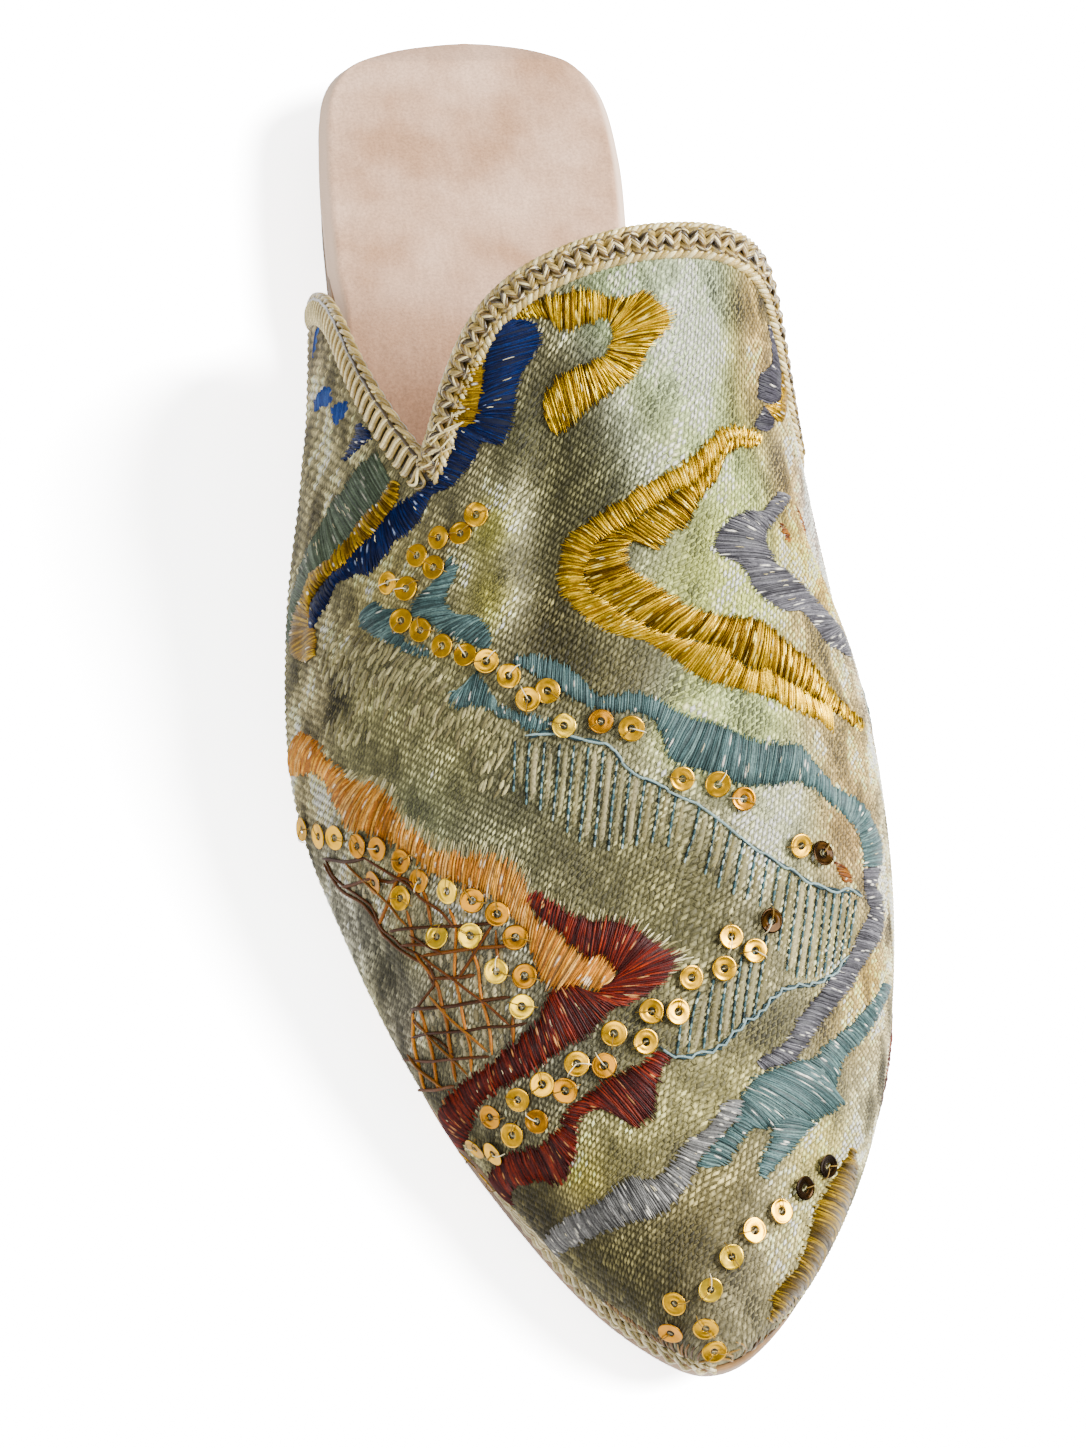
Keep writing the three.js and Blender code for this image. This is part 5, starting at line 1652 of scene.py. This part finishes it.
def make_rand():
    """A rope-like rand that widens between the velvet and the sole towards the toe; its pale cream
    is painted sheen of the velvet's lasted, pleated edge.
    """
    paths, outs, wide, thick, tints = [], [], [], [], []
    rows = np.linspace(row_at(RAND_START), TOE_ROW - 0.02, 300)
    station = column(STATION, rows)
    grow = smooth((station - RAND_START) / 20)
    ex, ey = edge(-1, rows, 0.0)
    nx, ny = edge(-1, rows, 1.0)
    inward = np.stack([nx - ex, -(ny - ey), 0 * ex], -1)
    base = world(ex, ey, deck(ey) + 0.2)
    length = lengths(np.linalg.norm(np.diff(base, axis=0), axis=1))
    up = np.array([0.0, 0.0, 1.0])
    for k in range(RAND_CORDS):
        phase = 2 * np.pi * (length / (2.5 + 0.17 * k) + k / 4)
        inset = 0.02 + 0.19 * k * grow + 0.26 * grow * np.cos(phase)
        high = -1.0 + 0.33 * k * grow + 0.3 * grow * np.sin(phase)
        path = base + inward * inset[:, None] + up * high[:, None]
        paths.append(path)
        outs.append(unit(-inward * 0.7 + up))
        wide.append(0.2 + 0.36 * grow)
        thick.append(0.18 + 0.28 * grow)
        tints.append(RAND_SHEEN[k % len(RAND_SHEEN)] * rng.uniform(0.8, 1.1))
    piece = strand_piece("toe_sheen_rand", paths, outs, wide, thick, tints, CORD, 5)


# ---------------------------------------------------------------- stage
def make_floor():
    floor = bpy.data.meshes.new("floor")
    reach = 6.0
    corners = [(-reach, -reach, 0), (reach, -reach, 0), (reach, reach, 0), (-reach, reach, 0)]
    floor.from_pydata(corners, [], [(0, 1, 2, 3)])
    made, node, links, shader = material("pale_floor")
    shader.inputs["Base Color"].default_value = (0.92, 0.92, 0.92, 1)
    shader.inputs["Roughness"].default_value = 0.9
    shader.inputs["Emission Color"].default_value = (1, 1, 1, 1)
    shader.inputs["Emission Strength"].default_value = 0.55
    # the camera sees the floor as an overexposed white sweep
    sweep = node("BsdfDiffuse", {"Color": (7, 7, 7, 1)}).outputs[0]
    seen = node("LightPath").outputs["Is Camera Ray"]
    both = node("MixShader", {0: seen, 1: shader.outputs[0], 2: sweep}).outputs[0]
    links.new(both, made.node_tree.nodes["Material Output"].inputs["Surface"])
    floor.materials.append(made)
    plane = bpy.data.objects.new("floor", floor)
    bpy.context.scene.collection.objects.link(plane)


def make_lights():
    sky = bpy.data.worlds.new("studio")
    sky.use_nodes = True
    sky.node_tree.nodes["Background"].inputs[0].default_value = (1, 1, 1, 1)
    sky.node_tree.nodes["Background"].inputs[1].default_value = 0.5
    bpy.context.scene.world = sky
    lamps = (("key", (0.56, -0.1, 0.64), 0.5, 33), ("fill", (-0.45, -0.35, 0.6), 0.5, 5))
    for name, place, size, power in lamps:
        light = bpy.data.lights.new(name, "AREA")
        light.shape = "DISK"
        light.size, light.energy = size, power
        lamp = bpy.data.objects.new(name, light)
        lamp.location = place
        lamp.rotation_mode = "QUATERNION"
        lamp.rotation_quaternion = (Vector((0, 0, 0.03)) - lamp.location).to_track_quat("-Z", "Y")
        bpy.context.scene.collection.objects.link(lamp)


def make_camera():
    """The photograph's viewing angle: three angles in radians, and the distance in metres."""
    swing, tip, roll, distance = 0.4596, 0.5340, -0.3472, 0.4919
    lean = math.sin(tip)
    away = Vector((-math.sin(swing) * lean, -math.cos(swing) * lean, math.cos(tip)))
    target = Vector((0.7, -10, 25)) * MM
    right = (-away).cross(Vector((0, 0, 1))).normalized()
    up = right.cross(-away)
    turned_right = right * math.cos(roll) - up * math.sin(roll)
    turned_up = right * math.sin(roll) + up * math.cos(roll)
    data = bpy.data.cameras.new("camera")
    data.sensor_fit = "AUTO"
    data.sensor_width = 36
    data.lens = 74.96
    data.shift_x, data.shift_y = -0.02645, -0.04641
    data.clip_start, data.clip_end = 0.01, 20
    camera = bpy.data.objects.new("camera", data)
    turn = Matrix((turned_right, turned_up, away)).transposed().to_4x4()
    camera.matrix_world = Matrix.Translation(target + away * distance) @ turn
    bpy.context.scene.collection.objects.link(camera)
    bpy.context.scene.camera = camera


make_camera()
make_floor()
make_lights()
make_upper()
make_sole()
make_insole()
make_braid()
make_bands()
make_nap()
make_sequins()
make_net()
make_hatch()
make_seeds()
make_strays()
make_edge_stitches()
make_rand()
